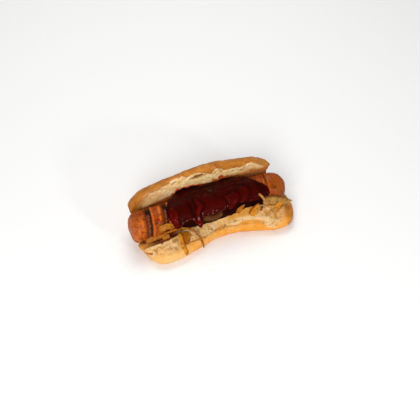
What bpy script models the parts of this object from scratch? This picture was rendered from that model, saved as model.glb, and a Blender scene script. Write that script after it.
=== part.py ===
"""Currywurst roll: a scored grilled sausage with thick sauce and fried onions in an opened long roll.

Run with: blender --background --python part.py
The roll lies along X and opens towards -Y, and Z points up. Its lower half rests on Z = 0 and its
lid stands up behind the sausage. All sizes are in metres.
"""

import math

import bmesh
import bpy
from mathutils import Matrix, Vector

TOUCH_GAP = 0.0003
SAUCE_GAP = 0.0008

# Sausage: turned about X, then bent a little
SAUSAGE_LEFT = -0.0885
SAUSAGE_RIGHT = 0.0860
SAUSAGE_RADIUS = 0.0164
SAUSAGE_UNEVEN = 0.012
SAUSAGE_UNEVEN_LENGTH = 0.017
SAUSAGE_SIDES = 28
SAUSAGE_STATIONS = 30
SAUSAGE_CROWDING = 0.7
SAUSAGE_END_LENGTH = 0.0135
SAUSAGE_END_POWER = 2.5
SAUSAGE_AXIS_HEIGHT = 0.0285
SAUSAGE_AXIS = ((-0.088, 0.0004, -0.0010), (-0.040, 0.0002, 0.0006), (0.030, 0.0, 0.0004),
                (0.088, -0.0010, 0.0020))
SCORE_X = (-0.0660, -0.0480, 0.0667)
SCORE_WIDTH = 0.0040
SCORE_DEPTH = 0.0042
SCORE_LEAN_Y = 0.195
SCORE_LEAN_Z = -0.211
SCORE_BACK = math.radians(-42)
SCORE_FRONT = math.radians(126)
SCORE_STEPS = 18
SCORE_FLOOR = 0.4
SCORE_RUN_OUT = 0.02

# Lower half: lines seen from above, and heights, at stations along X
LOWER_LEFT = -0.0790
LOWER_RIGHT = 0.090
LOWER_FRONT = ((-0.078, -0.0400), (-0.060, -0.0400), (-0.040, -0.0372), (-0.018, -0.0305),
               (0.006, -0.0245), (0.034, -0.0295), (0.060, -0.0385), (0.090, -0.0390))
LOWER_RIDGE = ((-0.080, 0.0170), (-0.050, 0.0190), (-0.010, 0.0200), (0.020, 0.0235), (0.050, 0.0265),
               (0.088, 0.0180))
LOWER_BACK = 0.0290
LOWER_END_MIDDLE = -0.010
LOWER_END_LENGTH = 0.021
LOWER_END_DEPTH = 0.35
LOWER_CRUST_MIDDLE = 0.0080
LOWER_CRUST_DEPTH = 0.0105
LOWER_RIM_TURN = math.radians(25)
RIM_WIDTH = 0.003
RIDGE_TO_FRONT = 0.0190
RIDGE_BACK = -0.006
HINGE_FOLD = 0.012

# Lid: the same kind of lobe in its own plane, from the hinge (0) to the rim
HINGE_BACK = 0.0215
HINGE_HEIGHT = 0.0130
LID_OPEN_ANGLE = math.radians(84)
LID_LEFT = -0.0805
LID_RIGHT = 0.0780
LID_RIM = ((-0.0805, 0.0330), (-0.062, 0.0420), (-0.040, 0.0490), (-0.010, 0.0545), (0.010, 0.0555),
           (0.035, 0.0520), (0.060, 0.0480), (0.078, 0.0360))
LID_ROOT = ((-0.0805, 0.0060), (-0.060, -0.0040), (-0.030, -0.0080), (0.030, -0.0080), (0.060, -0.0040),
            (0.078, 0.0060))
LID_END_MIDDLE = 0.021
LID_END_LENGTH = 0.024
LID_END_DEPTH = 0.30
LID_CRUST_MIDDLE = 0.0032
LID_CRUST_DEPTH = 0.0160
LID_RIM_TURN = math.radians(22)

# Both lobes
LOWER_CRUST_POWER = 2.5
LID_CRUST_POWER = 1.8
END_POWER = 2.2
CRUMB_POINTS = 16
CRUST_POINTS = 17
LOBE_STATIONS = 26
LOBE_CROWDING = 0.8

# Sauce: a thick sheet over the sausage, given by its edges' angles from the top towards the front
SAUCE_LEFT = -0.0500
SAUCE_RIGHT = 0.0630
SAUCE_BACK_ANGLE = ((-0.0500, 26), (-0.0475, 0), (-0.042, -28), (-0.031, -54), (-0.015, -62),
                    (0.033, -58), (0.042, -29), (0.051, -2), (0.059, 24), (0.0630, 44))
SAUCE_FRONT_ANGLE = ((-0.0500, 40), (-0.0470, 64), (-0.0440, 90), (-0.0405, 98), (-0.0370, 84),
                     (-0.0340, 76), (-0.0250, 77), (-0.0220, 94), (-0.0190, 111), (-0.0155, 107),
                     (-0.0125, 80), (0.004, 78), (0.011, 73), (0.017, 65), (0.042, 66), (0.055, 70),
                     (0.0630, 58))
SAUCE_THICKNESS_BACK = 0.0052
SAUCE_THICKNESS_FRONT = 0.0032
SAUCE_SWELL = 0.0009
SAUCE_SWELL_LENGTH = 0.021
SAUCE_STATIONS = 50
SAUCE_ACROSS = 10
SAUCE_END_LENGTH = 0.005
SAUCE_OVERRUN = 0.00125
SAUCE_EDGE = 0.0004
SAUCE_EDGE_POWER = 5
SAUCE_EDGE_ROUNDING = 0.4

# Fried onions: each is (width, thickness, curl, the way its broad side faces, route), with tapered ends
ONION_STEPS = 9
ONION_SIDES = 6
ONION_TIP = 0.35
ONION_END_POWER = 5.0
ROUTE_NUDGE = 0.001
TOWARDS_FRONT = (-0.15, -0.72, 0.68)
UPWARDS = (0.0, -0.25, 0.97)
ONIONS = {
    "onion_petal": (0.0100, 0.0016, 0.10, TOWARDS_FRONT, (
        (0.0560, -0.0215, 0.0335), (0.0640, -0.0220, 0.0335), (0.0730, -0.0212, 0.0310),
        (0.0800, -0.0205, 0.0270), (0.0880, -0.0210, 0.0235))),
    "onion_strand_pale": (0.0028, 0.0014, 0.0, TOWARDS_FRONT, (
        (0.0482, -0.0200, 0.0400), (0.0505, -0.0232, 0.0365), (0.0522, -0.0262, 0.0322),
        (0.0530, -0.0262, 0.0262))),
    "onion_chunk_middle": (0.0048, 0.0026, 0.05, TOWARDS_FRONT, (
        (0.0370, -0.0240, 0.0208), (0.0410, -0.0228, 0.0262), (0.0445, -0.0226, 0.0315))),
    "onion_chunk_right": (0.0046, 0.0022, 0.05, TOWARDS_FRONT, (
        (0.0745, -0.0262, 0.0262), (0.0695, -0.0280, 0.0240), (0.0655, -0.0305, 0.0205))),
    "onion_strand_right": (0.0026, 0.0018, 0.0, UPWARDS, (
        (0.0560, -0.0245, 0.0262), (0.0610, -0.0258, 0.0258), (0.0655, -0.0275, 0.0245))),
    "onion_wedge": (0.0040, 0.0022, 0.05, TOWARDS_FRONT, (
        (0.0240, -0.0205, 0.0242), (0.0275, -0.0205, 0.0292), (0.0305, -0.0208, 0.0338))),
    "onion_under_sauce": (0.0048, 0.0018, 0.08, TOWARDS_FRONT, (
        (-0.0110, -0.0192, 0.0240), (-0.0045, -0.0198, 0.0262), (0.0020, -0.0200, 0.0278),
        (0.0085, -0.0202, 0.0300))),
    "onion_chunk_left": (0.0072, 0.0022, 0.10, TOWARDS_FRONT, (
        (-0.0625, -0.0190, 0.0330), (-0.0570, -0.0204, 0.0340), (-0.0515, -0.0202, 0.0345))),
    "onion_strip_inner": (0.0046, 0.0020, 0.05, UPWARDS, (
        (-0.0730, -0.0168, 0.0196), (-0.0680, -0.0174, 0.0212), (-0.0620, -0.0177, 0.0226),
        (-0.0560, -0.0177, 0.0238))),
    "onion_cube": (0.0060, 0.0040, 0.0, UPWARDS, (
        (-0.0595, -0.0222, 0.0224), (-0.0565, -0.0220, 0.0228), (-0.0530, -0.0218, 0.0232))),
    "onion_arch": (0.0030, 0.0018, 0.0, UPWARDS, (
        (-0.0515, -0.0222, 0.0222), (-0.0450, -0.0222, 0.0264), (-0.0370, -0.0222, 0.0286),
        (-0.0310, -0.0240, 0.0272), (-0.0270, -0.0278, 0.0228), (-0.0245, -0.0318, 0.0162),
        (-0.0222, -0.0345, 0.0105))),
    "onion_strip_hanging": (0.0052, 0.0016, 0.05, UPWARDS, (
        (-0.0420, -0.0215, 0.0222), (-0.0424, -0.0270, 0.0200), (-0.0422, -0.0330, 0.0170),
        (-0.0408, -0.0388, 0.0138), (-0.0395, -0.0405, 0.0095))),
    "onion_patch": (0.0062, 0.0016, 0.05, UPWARDS, (
        (-0.0335, -0.0205, 0.0225), (-0.0338, -0.0245, 0.0210), (-0.0342, -0.0290, 0.0185))),
}


def clear_scene():
    for thing in list(bpy.data.objects):
        bpy.data.objects.remove(thing, do_unlink=True)


def new_collection(name, hidden=False):
    collection = bpy.data.collections.new(name)
    collection.hide_render = hidden
    bpy.context.scene.collection.children.link(collection)
    return collection


def material(name, colour, roughness, metallic=0.0):
    made = bpy.data.materials.new(name)
    made.use_nodes = True
    shader = made.node_tree.nodes["Principled BSDF"]
    shader.inputs["Base Color"].default_value = (*colour, 1.0)
    shader.inputs["Roughness"].default_value = roughness
    shader.inputs["Metallic"].default_value = metallic
    return made


def through(stations, x, column=1):
    """The value at x of a smooth curve through stations, each (x, value, ...)."""
    last = len(stations) - 1
    x = min(max(x, stations[0][0]), stations[last][0])
    low = min(sum(x >= station[0] for station in stations[1:]), last - 1)

    def slope(index):
        before = stations[max(index - 1, 0)]
        after = stations[min(index + 1, last)]
        return (after[column] - before[column]) / (after[0] - before[0])

    start, end = stations[low], stations[low + 1]
    span = end[0] - start[0]
    t = (x - start[0]) / span
    ease = t * t * (3 - 2 * t)
    level = start[column] + (end[column] - start[column]) * ease
    return level + span * (slope(low) * t * (1 - t) ** 2 - slope(low + 1) * t * t * (1 - t))


def rounded_power(value, power):
    """value's sign with its size raised to power, as superellipses use it."""
    return math.copysign(abs(value) ** power, value)


def end_taper(x, left, right, length, power=END_POWER):
    """1 along the middle of a body, falling to 0 in a rounded curve at its ends."""
    inside = min(x - left, right - x) / length
    if inside >= 1:
        return 1.0
    return (1 - (1 - max(inside, 0.0)) ** power) ** (1 / power)


def lobe_stations(left, right):
    """Places along X, close together at both ends."""
    middle, half = (left + right) / 2, (right - left) / 2
    steps = [(index + 0.5) / LOBE_STATIONS for index in range(LOBE_STATIONS)]
    return [middle - half * rounded_power(math.cos(math.pi * step), LOBE_CROWDING) for step in steps]


def smooth_step(low, high, value):
    t = min(max((value - low) / (high - low), 0.0), 1.0)
    return t * t * (3 - 2 * t)


def link_mesh(name, mesh, collection, finishes):
    mesh.shade_smooth()
    for finish in finishes:
        mesh.materials.append(finish)
    made = bpy.data.objects.new(name, mesh)
    collection.objects.link(made)
    return made


def loft(name, rings, collection, finishes, outer_points=None):
    """A closed solid through rings of equally many points, with a face over each end ring.

    Points from outer_points on, in each ring, border faces of the second finish.
    """
    shape = bmesh.new()
    loops = [[shape.verts.new(point) for point in ring] for ring in rings]
    count = len(loops[0])
    for this, following in zip(loops, loops[1:]):
        for index in range(count):
            after = (index + 1) % count
            face = shape.faces.new((this[index], this[after], following[after], following[index]))
            face.material_index = int(outer_points is not None and index >= outer_points - 1)
    shape.faces.new(reversed(loops[0]))
    shape.faces.new(loops[-1])
    bmesh.ops.triangulate(shape, faces=[face for face in shape.faces if len(face.verts) > 4])
    bmesh.ops.recalc_face_normals(shape, faces=shape.faces)
    mesh = bpy.data.meshes.new(name)
    shape.to_mesh(mesh)
    shape.free()
    return link_mesh(name, mesh, collection, finishes)


def boolean(target, cutter, operation):
    modifier = target.modifiers.new(cutter.name, "BOOLEAN")
    modifier.operation = operation
    modifier.object = cutter
    modifier.solver = "MANIFOLD"


def as_cutter(piece):
    piece.hide_render = True
    piece.display_type = "WIRE"


def sausage_axis(x):
    """The sausage's middle line at x, as (y, z)."""
    return (
        through(SAUSAGE_AXIS, x, 1),
        SAUSAGE_AXIS_HEIGHT + through(SAUSAGE_AXIS, x, 2),
    )


def sausage_radius(x):
    """The sausage's radius at x: nearly even, with blunt rounded ends."""
    body = SAUSAGE_RADIUS * (1 + SAUSAGE_UNEVEN * math.sin(x / SAUSAGE_UNEVEN_LENGTH))
    return body * end_taper(x, SAUSAGE_LEFT, SAUSAGE_RIGHT, SAUSAGE_END_LENGTH, SAUSAGE_END_POWER)


def crust_arc(middle_across, half_across, equator, depth, rim_turn, power):
    """The crust's line across a lobe from its front rim round to its back rim, as (across, down)."""
    arc = []
    for index in range(CRUST_POINTS):
        turn = -rim_turn + (math.pi + 2 * rim_turn) * index / (CRUST_POINTS - 1)
        across = middle_across - half_across * rounded_power(math.cos(turn), 2 / power)
        down = equator + depth * rounded_power(math.sin(turn), 2 / power)
        arc.append((across, down))
    return arc


def crumb_height(x, y, rim_height):
    """The height of the lower half's crumb: it climbs from the rim to a ridge beside the sausage."""
    taper = end_taper(x, LOWER_LEFT, LOWER_RIGHT, LOWER_END_LENGTH)
    ridge = rim_height + (through(LOWER_RIDGE, x) - rim_height) * taper
    front = through(LOWER_FRONT, x)
    climb = smooth_step(front + RIM_WIDTH, front + RIDGE_TO_FRONT, y)
    return rim_height + (ridge - rim_height) * climb * (1 - smooth_step(RIDGE_BACK, HINGE_FOLD, y))


def lower_ring(x):
    """One section of the lower half: crust from the front rim under to the back, then crumb forwards."""
    taper = end_taper(x, LOWER_LEFT, LOWER_RIGHT, LOWER_END_LENGTH)
    front = LOWER_END_MIDDLE + (through(LOWER_FRONT, x) - LOWER_END_MIDDLE) * taper
    back = LOWER_END_MIDDLE + (LOWER_BACK - LOWER_END_MIDDLE) * taper
    depth = LOWER_CRUST_DEPTH * (LOWER_END_DEPTH + (1 - LOWER_END_DEPTH) * taper)
    arc = crust_arc((front + back) / 2, (back - front) / 2, -LOWER_CRUST_MIDDLE, depth, LOWER_RIM_TURN,
                    LOWER_CRUST_POWER)
    ring = [(y, max(-down, 0.0)) for y, down in arc]
    rim_front, rim_back = ring[0], ring[-1]
    for index in range(1, CRUMB_POINTS):
        y = rim_back[0] + (rim_front[0] - rim_back[0]) * index / CRUMB_POINTS
        ring.append((y, crumb_height(x, y, rim_front[1])))
    return [(x, y, z) for y, z in ring]


def lid_point(x, out, deep):
    """World place of a point in the lid: out from the hinge along the crumb, deep from the crumb to the crust."""
    lean, rise = math.cos(LID_OPEN_ANGLE), math.sin(LID_OPEN_ANGLE)
    return (x, HINGE_BACK - out * lean + deep * rise, HINGE_HEIGHT + out * rise + deep * lean)


def lid_ring(x):
    """One section of the lid: crust from the rim over to the root, then crumb back to the rim."""
    taper = end_taper(x, LID_LEFT, LID_RIGHT, LID_END_LENGTH)
    rim = LID_END_MIDDLE + (through(LID_RIM, x) - LID_END_MIDDLE) * taper
    root = LID_END_MIDDLE + (through(LID_ROOT, x) - LID_END_MIDDLE) * taper
    depth = LID_CRUST_DEPTH * (LID_END_DEPTH + (1 - LID_END_DEPTH) * taper)
    arc = crust_arc(-(rim + root) / 2, (rim - root) / 2, LID_CRUST_MIDDLE, depth, LID_RIM_TURN, LID_CRUST_POWER)
    ring = [(-across, max(deep, 0.0)) for across, deep in arc]
    rim_point, root_point = ring[0], ring[-1]
    for index in range(1, CRUMB_POINTS):
        out = root_point[0] + (rim_point[0] - root_point[0]) * index / CRUMB_POINTS
        ring.append((out, 0.0))
    return [lid_point(x, out, deep) for out, deep in ring]


def make_bun(collection, cutters):
    """The lower half and the lid, joined at the hinge, with a bed pressed in by the sausage and its sauce."""
    breads = (material("crust", (0.52, 0.24, 0.06), 0.55), material("crumb", (0.68, 0.50, 0.28), 0.9))
    lower_rings = [lower_ring(x) for x in lobe_stations(LOWER_LEFT, LOWER_RIGHT)]
    lid_rings = [lid_ring(x) for x in lobe_stations(LID_LEFT, LID_RIGHT)]
    bun = loft("bun", lower_rings, collection, breads, CRUST_POINTS)
    boolean(bun, loft("bun_lid", lid_rings, cutters, breads, CRUST_POINTS), "UNION")
    for bed in (
        make_turned_body("sausage_bed", TOUCH_GAP, cutters, breads),
        make_sauce("sauce_bed", TOUCH_GAP, cutters, breads),
    ):
        for face in bed.data.polygons:
            face.material_index = 1
        boolean(bun, bed, "DIFFERENCE")
    return bun


def make_turned_body(name, grow, collection, finishes):
    """The sausage's smooth body, turned from its profile and then bent; grow makes it larger all round."""
    middle, half = (SAUSAGE_RIGHT + SAUSAGE_LEFT) / 2, (SAUSAGE_RIGHT - SAUSAGE_LEFT) / 2
    profile = bmesh.new()
    chain = []
    for index in range(SAUSAGE_STATIONS + 1):
        place = middle + half * rounded_power(math.cos(math.pi * index / SAUSAGE_STATIONS), SAUSAGE_CROWDING)
        at_tip = index in (0, SAUSAGE_STATIONS)
        radius = 0.0 if at_tip else sausage_radius(place) + grow
        chain.append(profile.verts.new((radius, 0.0, place + math.copysign(grow, place - middle))))
    for first, second in zip(chain, chain[1:]):
        profile.edges.new((first, second))
    mesh = bpy.data.meshes.new("sausage_profile")
    profile.to_mesh(mesh)
    profile.free()
    turned = link_mesh("sausage_profile", mesh, collection, ())
    screw = turned.modifiers.new("turn", "SCREW")
    screw.steps = SAUSAGE_SIDES
    screw.render_steps = SAUSAGE_SIDES
    screw.use_merge_vertices = True
    screw.merge_threshold = 0.00001
    body = bpy.data.meshes.new_from_object(turned.evaluated_get(bpy.context.evaluated_depsgraph_get()))
    bpy.data.objects.remove(turned, do_unlink=True)
    body.transform(Matrix.Rotation(math.radians(90), 4, "Y"))
    for vertex in body.vertices:
        axis_y, axis_z = sausage_axis(vertex.co.x)
        vertex.co.y += axis_y
        vertex.co.z += axis_z
    return link_mesh(name, body, collection, finishes)


def make_sausage(collection, cutters):
    skin = material("sausage", (0.36, 0.10, 0.02), 0.38)
    sausage = make_turned_body("sausage", 0.0, collection, (skin,))
    for number, x in enumerate(SCORE_X, 1):
        boolean(sausage, score_cutter(f"score_{number}", x, cutters), "DIFFERENCE")
    return sausage


def score_cutter(name, x, cutters):
    """A leaning wedge that cuts one score over the sausage's top and front, deepest in the middle."""
    rings = []
    for index in range(SCORE_STEPS + 1):
        step = index / SCORE_STEPS
        angle = SCORE_BACK + (SCORE_FRONT - SCORE_BACK) * step
        depth = SCORE_DEPTH * math.sqrt(math.sin(math.pi * (SCORE_RUN_OUT + (1 - 2 * SCORE_RUN_OUT) * step)))
        corners = ((-1, 1), (1, 1), (SCORE_FLOOR, -1), (-SCORE_FLOOR, -1))
        ring = []
        for beside, side in corners:
            radius = SAUSAGE_RADIUS + (SCORE_WIDTH / 2 if side > 0 else -depth)
            y, z = -radius * math.sin(angle), radius * math.cos(angle)
            place = x + SCORE_WIDTH / 2 * beside + SCORE_LEAN_Y * y + SCORE_LEAN_Z * z
            axis_y, axis_z = sausage_axis(x)
            ring.append((place, axis_y + y, axis_z + z))
        rings.append(ring)
    return loft(name, rings, cutters, ())


def sauce_ring(x, grow):
    """One section of the sauce: its outer line from the back edge to the front, then its inner line back."""
    spread = grow / SAUSAGE_RADIUS
    back = math.radians(through(SAUCE_BACK_ANGLE, x)) - spread
    front = math.radians(through(SAUCE_FRONT_ANGLE, x)) + spread
    axis_y, axis_z = sausage_axis(x)
    inner = sausage_radius(x) + SAUCE_GAP - 3 * grow
    swell = SAUCE_SWELL * math.sin(math.tau * x / SAUCE_SWELL_LENGTH)
    ends = end_taper(x, SAUCE_LEFT - SAUCE_OVERRUN, SAUCE_RIGHT + SAUCE_OVERRUN, SAUCE_END_LENGTH)
    ring = []
    for index in range(SAUCE_ACROSS + 1):
        across = index / SAUCE_ACROSS
        edge = (1 - abs(2 * across - 1) ** SAUCE_EDGE_POWER) ** SAUCE_EDGE_ROUNDING
        body = SAUCE_THICKNESS_BACK + (SAUCE_THICKNESS_FRONT - SAUCE_THICKNESS_BACK) * across
        thick = max((body + swell * math.sin(math.tau * across)) * edge * ends, SAUCE_EDGE)
        ring.append((back + (front - back) * across, sausage_radius(x) + SAUCE_GAP + thick + grow))
    ring += [(angle, inner) for angle, _ in reversed(ring)]
    return [(x, axis_y - radius * math.sin(angle), axis_z + radius * math.cos(angle)) for angle, radius in ring]


def make_sauce(name, grow, collection, finishes):
    """The sauce as one sheet draped over the sausage; grow makes it larger all round."""
    span = SAUCE_RIGHT - SAUCE_LEFT
    steps = [index / SAUCE_STATIONS for index in range(SAUCE_STATIONS + 1)]
    rings = [sauce_ring(SAUCE_LEFT + span * step, grow) for step in steps]
    rings[0] = [(x - grow, y, z) for x, y, z in rings[0]]
    rings[-1] = [(x + grow, y, z) for x, y, z in rings[-1]]
    return loft(name, rings, collection, finishes)


def route_frame(route, step):
    """A place on the smooth line through the route's points, and the line's direction there."""
    stations = [(index / (len(route) - 1), *point) for index, point in enumerate(route)]
    place, before, after = (
        Vector([through(stations, at, column) for column in (1, 2, 3)])
        for at in (step, max(step - ROUTE_NUDGE, 0.0), min(step + ROUTE_NUDGE, 1.0))
    )
    return place, (after - before).normalized()


def onion_strip(name, width, thickness, curl, facing, route, collection, finish):
    """One strip of fried onion: a flattened oval section that follows its route and narrows at both ends."""
    rings = []
    for index in range(ONION_STEPS + 1):
        step = index / ONION_STEPS
        place, direction = route_frame(route, step)
        normal = Vector(facing)
        normal = (normal - direction * normal.dot(direction)).normalized()
        side = direction.cross(normal)
        size = ONION_TIP + (1 - ONION_TIP) * (1 - abs(2 * step - 1) ** ONION_END_POWER)
        ring = []
        for corner in range(ONION_SIDES):
            turn = math.tau * corner / ONION_SIDES
            across, out = math.cos(turn), math.sin(turn)
            bend = -curl * width * across * across * size
            ring.append(place + side * (across * width / 2 * size) + normal * (out * thickness / 2 * size + bend))
        rings.append(ring)
    return loft(name, rings, collection, (finish,))


def make_onions(collection):
    golden = material("onion", (0.55, 0.28, 0.04), 0.35)
    for name, (width, thickness, curl, facing, route) in ONIONS.items():
        onion_strip(name, width, thickness, curl, facing, route, collection, golden)


def stand_on_origin(collection, cutters):
    """Hangs every piece from one empty, placed so that the origin is under the middle of the roll."""
    holder = bpy.data.objects.new("roll_origin", None)
    collection.objects.link(holder)
    graph = bpy.context.evaluated_depsgraph_get()
    pieces = [piece for piece in collection.objects if piece.type == "MESH"]
    corners = [Vector(corner) for piece in pieces for corner in piece.evaluated_get(graph).bound_box]
    for axis in (0, 1):
        places = [corner[axis] for corner in corners]
        holder.location[axis] = -(min(places) + max(places)) / 2
    for piece in pieces + list(cutters.objects):
        piece.parent = holder


def main():
    clear_scene()
    roll = new_collection("currywurst_roll")
    cutters = new_collection("cutters", hidden=True)
    make_bun(roll, cutters)
    make_sausage(roll, cutters)
    make_sauce("sauce", 0.0, roll, (material("sauce", (0.055, 0.004, 0.003), 0.22),))
    make_onions(roll)
    for piece in cutters.objects:
        as_cutter(piece)
    stand_on_origin(roll, cutters)


main()
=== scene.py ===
"""Currywurst roll: the looks of an opened long roll that holds a scored grilled sausage, thick curry
sauce and strips of fried onion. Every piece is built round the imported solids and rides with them."""

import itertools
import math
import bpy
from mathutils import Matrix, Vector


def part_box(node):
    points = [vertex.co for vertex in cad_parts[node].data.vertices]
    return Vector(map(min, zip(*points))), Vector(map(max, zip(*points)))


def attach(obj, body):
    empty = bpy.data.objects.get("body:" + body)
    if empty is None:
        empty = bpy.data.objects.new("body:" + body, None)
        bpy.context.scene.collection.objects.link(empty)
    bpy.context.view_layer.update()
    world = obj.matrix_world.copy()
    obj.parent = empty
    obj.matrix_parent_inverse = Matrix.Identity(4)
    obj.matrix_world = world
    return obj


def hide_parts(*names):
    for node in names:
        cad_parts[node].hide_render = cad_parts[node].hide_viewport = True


bl_info = {
    "name": "Currywurst Roll",
    "version": (1, 0, 0),
    "blender": (4, 5, 0),
    "location": "View3D > Sidebar > Currywurst Roll",
    "description": "Builds the bread, sausage, sauce and onions of a currywurst roll, and its studio",
    "category": "Add Mesh",
}

from types import SimpleNamespace

import bmesh
import bpy
import numpy as np
from bpy.props import FloatProperty, FloatVectorProperty, IntProperty, PointerProperty
from mathutils import Vector
from mathutils.bvhtree import BVHTree

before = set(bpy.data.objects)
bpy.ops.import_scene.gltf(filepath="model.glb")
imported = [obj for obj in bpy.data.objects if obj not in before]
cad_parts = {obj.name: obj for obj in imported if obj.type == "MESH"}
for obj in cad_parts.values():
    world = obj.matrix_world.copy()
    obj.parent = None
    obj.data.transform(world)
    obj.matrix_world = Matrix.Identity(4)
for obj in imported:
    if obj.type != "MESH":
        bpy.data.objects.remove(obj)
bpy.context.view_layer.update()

# The tables below are in millimetres, and their zero lies this far from the frame's origin: a little
# right of the sausage's middle, at its axis, on the surface that the roll lies on.
MM = 0.001
SAUSAGE_BOX = [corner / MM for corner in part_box("sausage")]
SAUSAGE_MIDDLE = (SAUSAGE_BOX[0] + SAUSAGE_BOX[1]) / 2
SEAT = np.array((SAUSAGE_MIDDLE.x + 1.25, SAUSAGE_MIDDLE.y - 0.055, 0.0))

# Sausage
SAUSAGE_LEFT = SAUSAGE_BOX[0].x - SEAT[0]
SAUSAGE_RIGHT = SAUSAGE_BOX[1].x - SEAT[0]
SAUSAGE_RADIUS = 16.4
SAUSAGE_AXIS = ((-88, 0.4, 27.5), (-40, 0.2, 29.1), (30, 0.0, 28.9), (88, -1.0, 30.5))
# Millimetres round the sausage for each degree
ARC = SAUSAGE_RADIUS * math.pi / 180
# Scores: place, width of the floor, how deep against the others
SCORES = ((-68.4, 4.0, 1.0), (-50.0, 3.2, 1.0), (62.9, 1.2, 0.35))
SCORE_LEAN = (0.15, 0.032)

# Lid: measured out from the hinge along the crumb, and deep from the crumb towards the crust
HINGE = (21.5, 13.0)
LID_ANGLE = math.radians(84)
LID_BORDER = ((-80, 10), (-74, 13), (-70.5, 17), (-68, 27), (-64.5, 34), (-60.5, 39.5), (-55.5, 41.5),
              (-50, 44), (-44.5, 46), (-39, 47.5), (-36, 51), (-32.4, 53.5), (-27, 51.5), (-22.5, 52.5),
              (-18, 49.7), (-13.6, 51.5), (-9, 52.6), (-3.5, 52), (3.3, 48.6), (7, 46), (10.2, 46.2),
              (12.3, 49.6), (16.8, 51.4), (21.5, 48.6), (26.2, 45.3), (31.9, 46.2), (42.3, 44.4),
              (46.8, 46.4), (51.2, 48), (56, 47), (61, 43), (65, 38), (69, 33), (73, 26), (77, 14))

# Points of the lower half lie below this height
LID_FOOT = 34

# Lower half: the line where its front crust meets the crumb, seen from above
LOWER_BORDER = ((-79, -10), (-78, -20), (-76.6, -28.6), (-67.3, -30), (-57, -32.1), (-50.7, -32.5),
                (-42, -30.2), (-33.5, -28.4), (-25, -26.7), (-14.8, -24), (-5.8, -21.5), (2, -19.6),
                (8, -19.2), (12.9, -20.5), (20.9, -23.1), (26, -22.4), (28.7, -21.6), (37.1, -23.5),
                (44.6, -27), (48.1, -31.5), (51.4, -36), (57.6, -38.2), (64.5, -36.8), (70, -32.7),
                (74.5, -26), (77.5, -18), (80, -12))
RIM_HEIGHT = ((-80, 9.0), (-72, 11.6), (-60, 12.8), (-20, 13.0), (8, 12.9), (13, 11.5), (21, 11.0),
              (27, 12.6), (44, 12.8), (50, 10.5), (58, 9.5), (66, 10.5), (73, 12.5), (80, 11.4),
              (90, 9.0))

# Sauce: its edges' angles from the sausage's top towards the front, in degrees
SAUCE_BACK = ((-50, 26), (-47.5, 0), (-42, -28), (-31, -54), (-15, -62), (33, -58), (42, -29), (51, -2),
              (59, 24), (63, 44))
SAUCE_FRONT = ((-50, 40), (-47, 66), (-44, 92), (-40.5, 101), (-37, 86), (-34, 76), (-25, 77),
               (-22, 94), (-19, 110), (-15.5, 106), (-12.5, 80), (4, 78), (11, 73), (17, 65), (30, 64),
               (42, 66), (55, 70), (63, 58))
# The front edge of a near-black sheet on the skin below the sauce: painted shade under the sauce's lip
SHADE_FILM_FRONT = ((-47, 60), (-43, 104), (-37, 116), (-28, 122), (-10, 128), (10, 124), (30, 120),
              (46, 116), (56, 96), (62, 64))
# Lobes of sauce that have run over each other: thickness, width of the rounded edge, how bright red the
# lobe is (thin sauce, and painted light low down), and its outline as (x, angle)
LOBES = ((4.6, 6.0, 0.0,
          ((-23, -26), (-6, -30), (9, -24), (24, -20), (36, -5), (43, 10), (38, 17), (29, 9), (16, 13),
           (3, 4), (-10, -3))),
         (4.3, 3.4, 0.1,
          ((-46.5, 11), (-42.6, -6), (-36, -21), (-30.7, -21), (-28, 0), (-25.6, 19), (-24.6, 36),
           (-24.6, 53), (-25.2, 71), (-31.3, 71), (-38, 68), (-41.6, 80), (-46.3, 74), (-48.8, 54),
           (-49.3, 32))),
         (4.9, 2.2, 0.8,
          ((-47.2, 14), (-43.4, 16), (-40, 28), (-39.7, 44), (-41, 58), (-39.7, 76), (-41.8, 86),
           (-45.5, 78), (-48.8, 54), (-49.3, 32))),
         (4.5, 1.5, 0.1,
          ((-28, -24), (-23.5, -8), (-20.9, 13), (-19.8, 33), (-21.6, 50), (-22.8, 67), (-24.3, 59),
           (-24, 41), (-24.8, 21), (-27, 2))),
         (4.7, 2.0, 0.8,
          ((-19.8, -27), (-15.5, 6), (-12.8, 27), (-10.5, 35), (-12.1, 45), (-16.4, 56), (-16.7, 72),
           (-14.1, 92), (-15.8, 109), (-18.6, 113), (-20.8, 97), (-22.3, 67), (-21.8, 49), (-17.9, 36),
           (-20.3, 17))),
         (4.5, 3.0, 0.3,
          ((-3.4, -24), (2.5, 5), (7.1, 28), (13.6, 43), (13.4, 56), (8.8, 72), (-2.2, 68), (-11, 69),
           (-16, 74), (-16, 56), (-11.9, 45), (-9.5, 31), (-11.4, 9))),
         (4.7, 2.4, 0.45,
          ((11.5, 13), (16.4, 26), (23.7, 21), (28.8, 34), (28.9, 47), (24, 61), (16.8, 74), (13.5, 66),
           (14.1, 50), (12.7, 39))),
         (4.4, 2.4, 0.4,
          ((26.8, 9), (34.7, 8), (39.9, 19), (41.5, 36), (39.1, 50), (34.2, 63), (27.5, 62), (29.7, 45),
           (29.9, 31))),
         (3.9, 2.8, 0.15,
          ((40.9, 13), (47.3, 15), (52, 32), (53.2, 52), (49.7, 70), (42.9, 71), (35.3, 64), (40.6, 49),
           (42.6, 34))),
         (3.7, 1.6, 0.1,
          ((45, 1), (51.1, 13), (55.4, 36), (58, 57), (56, 68), (51.5, 72), (54.3, 51), (53.1, 31),
           (48.9, 15))))
SAUCE_CREVICE = ((8, -44), (14, -47), (20, -48), (27, -47))

TOWARDS_FRONT = (-0.15, -0.72, 0.68)
UPWARDS = (0.0, -0.25, 0.97)
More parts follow.
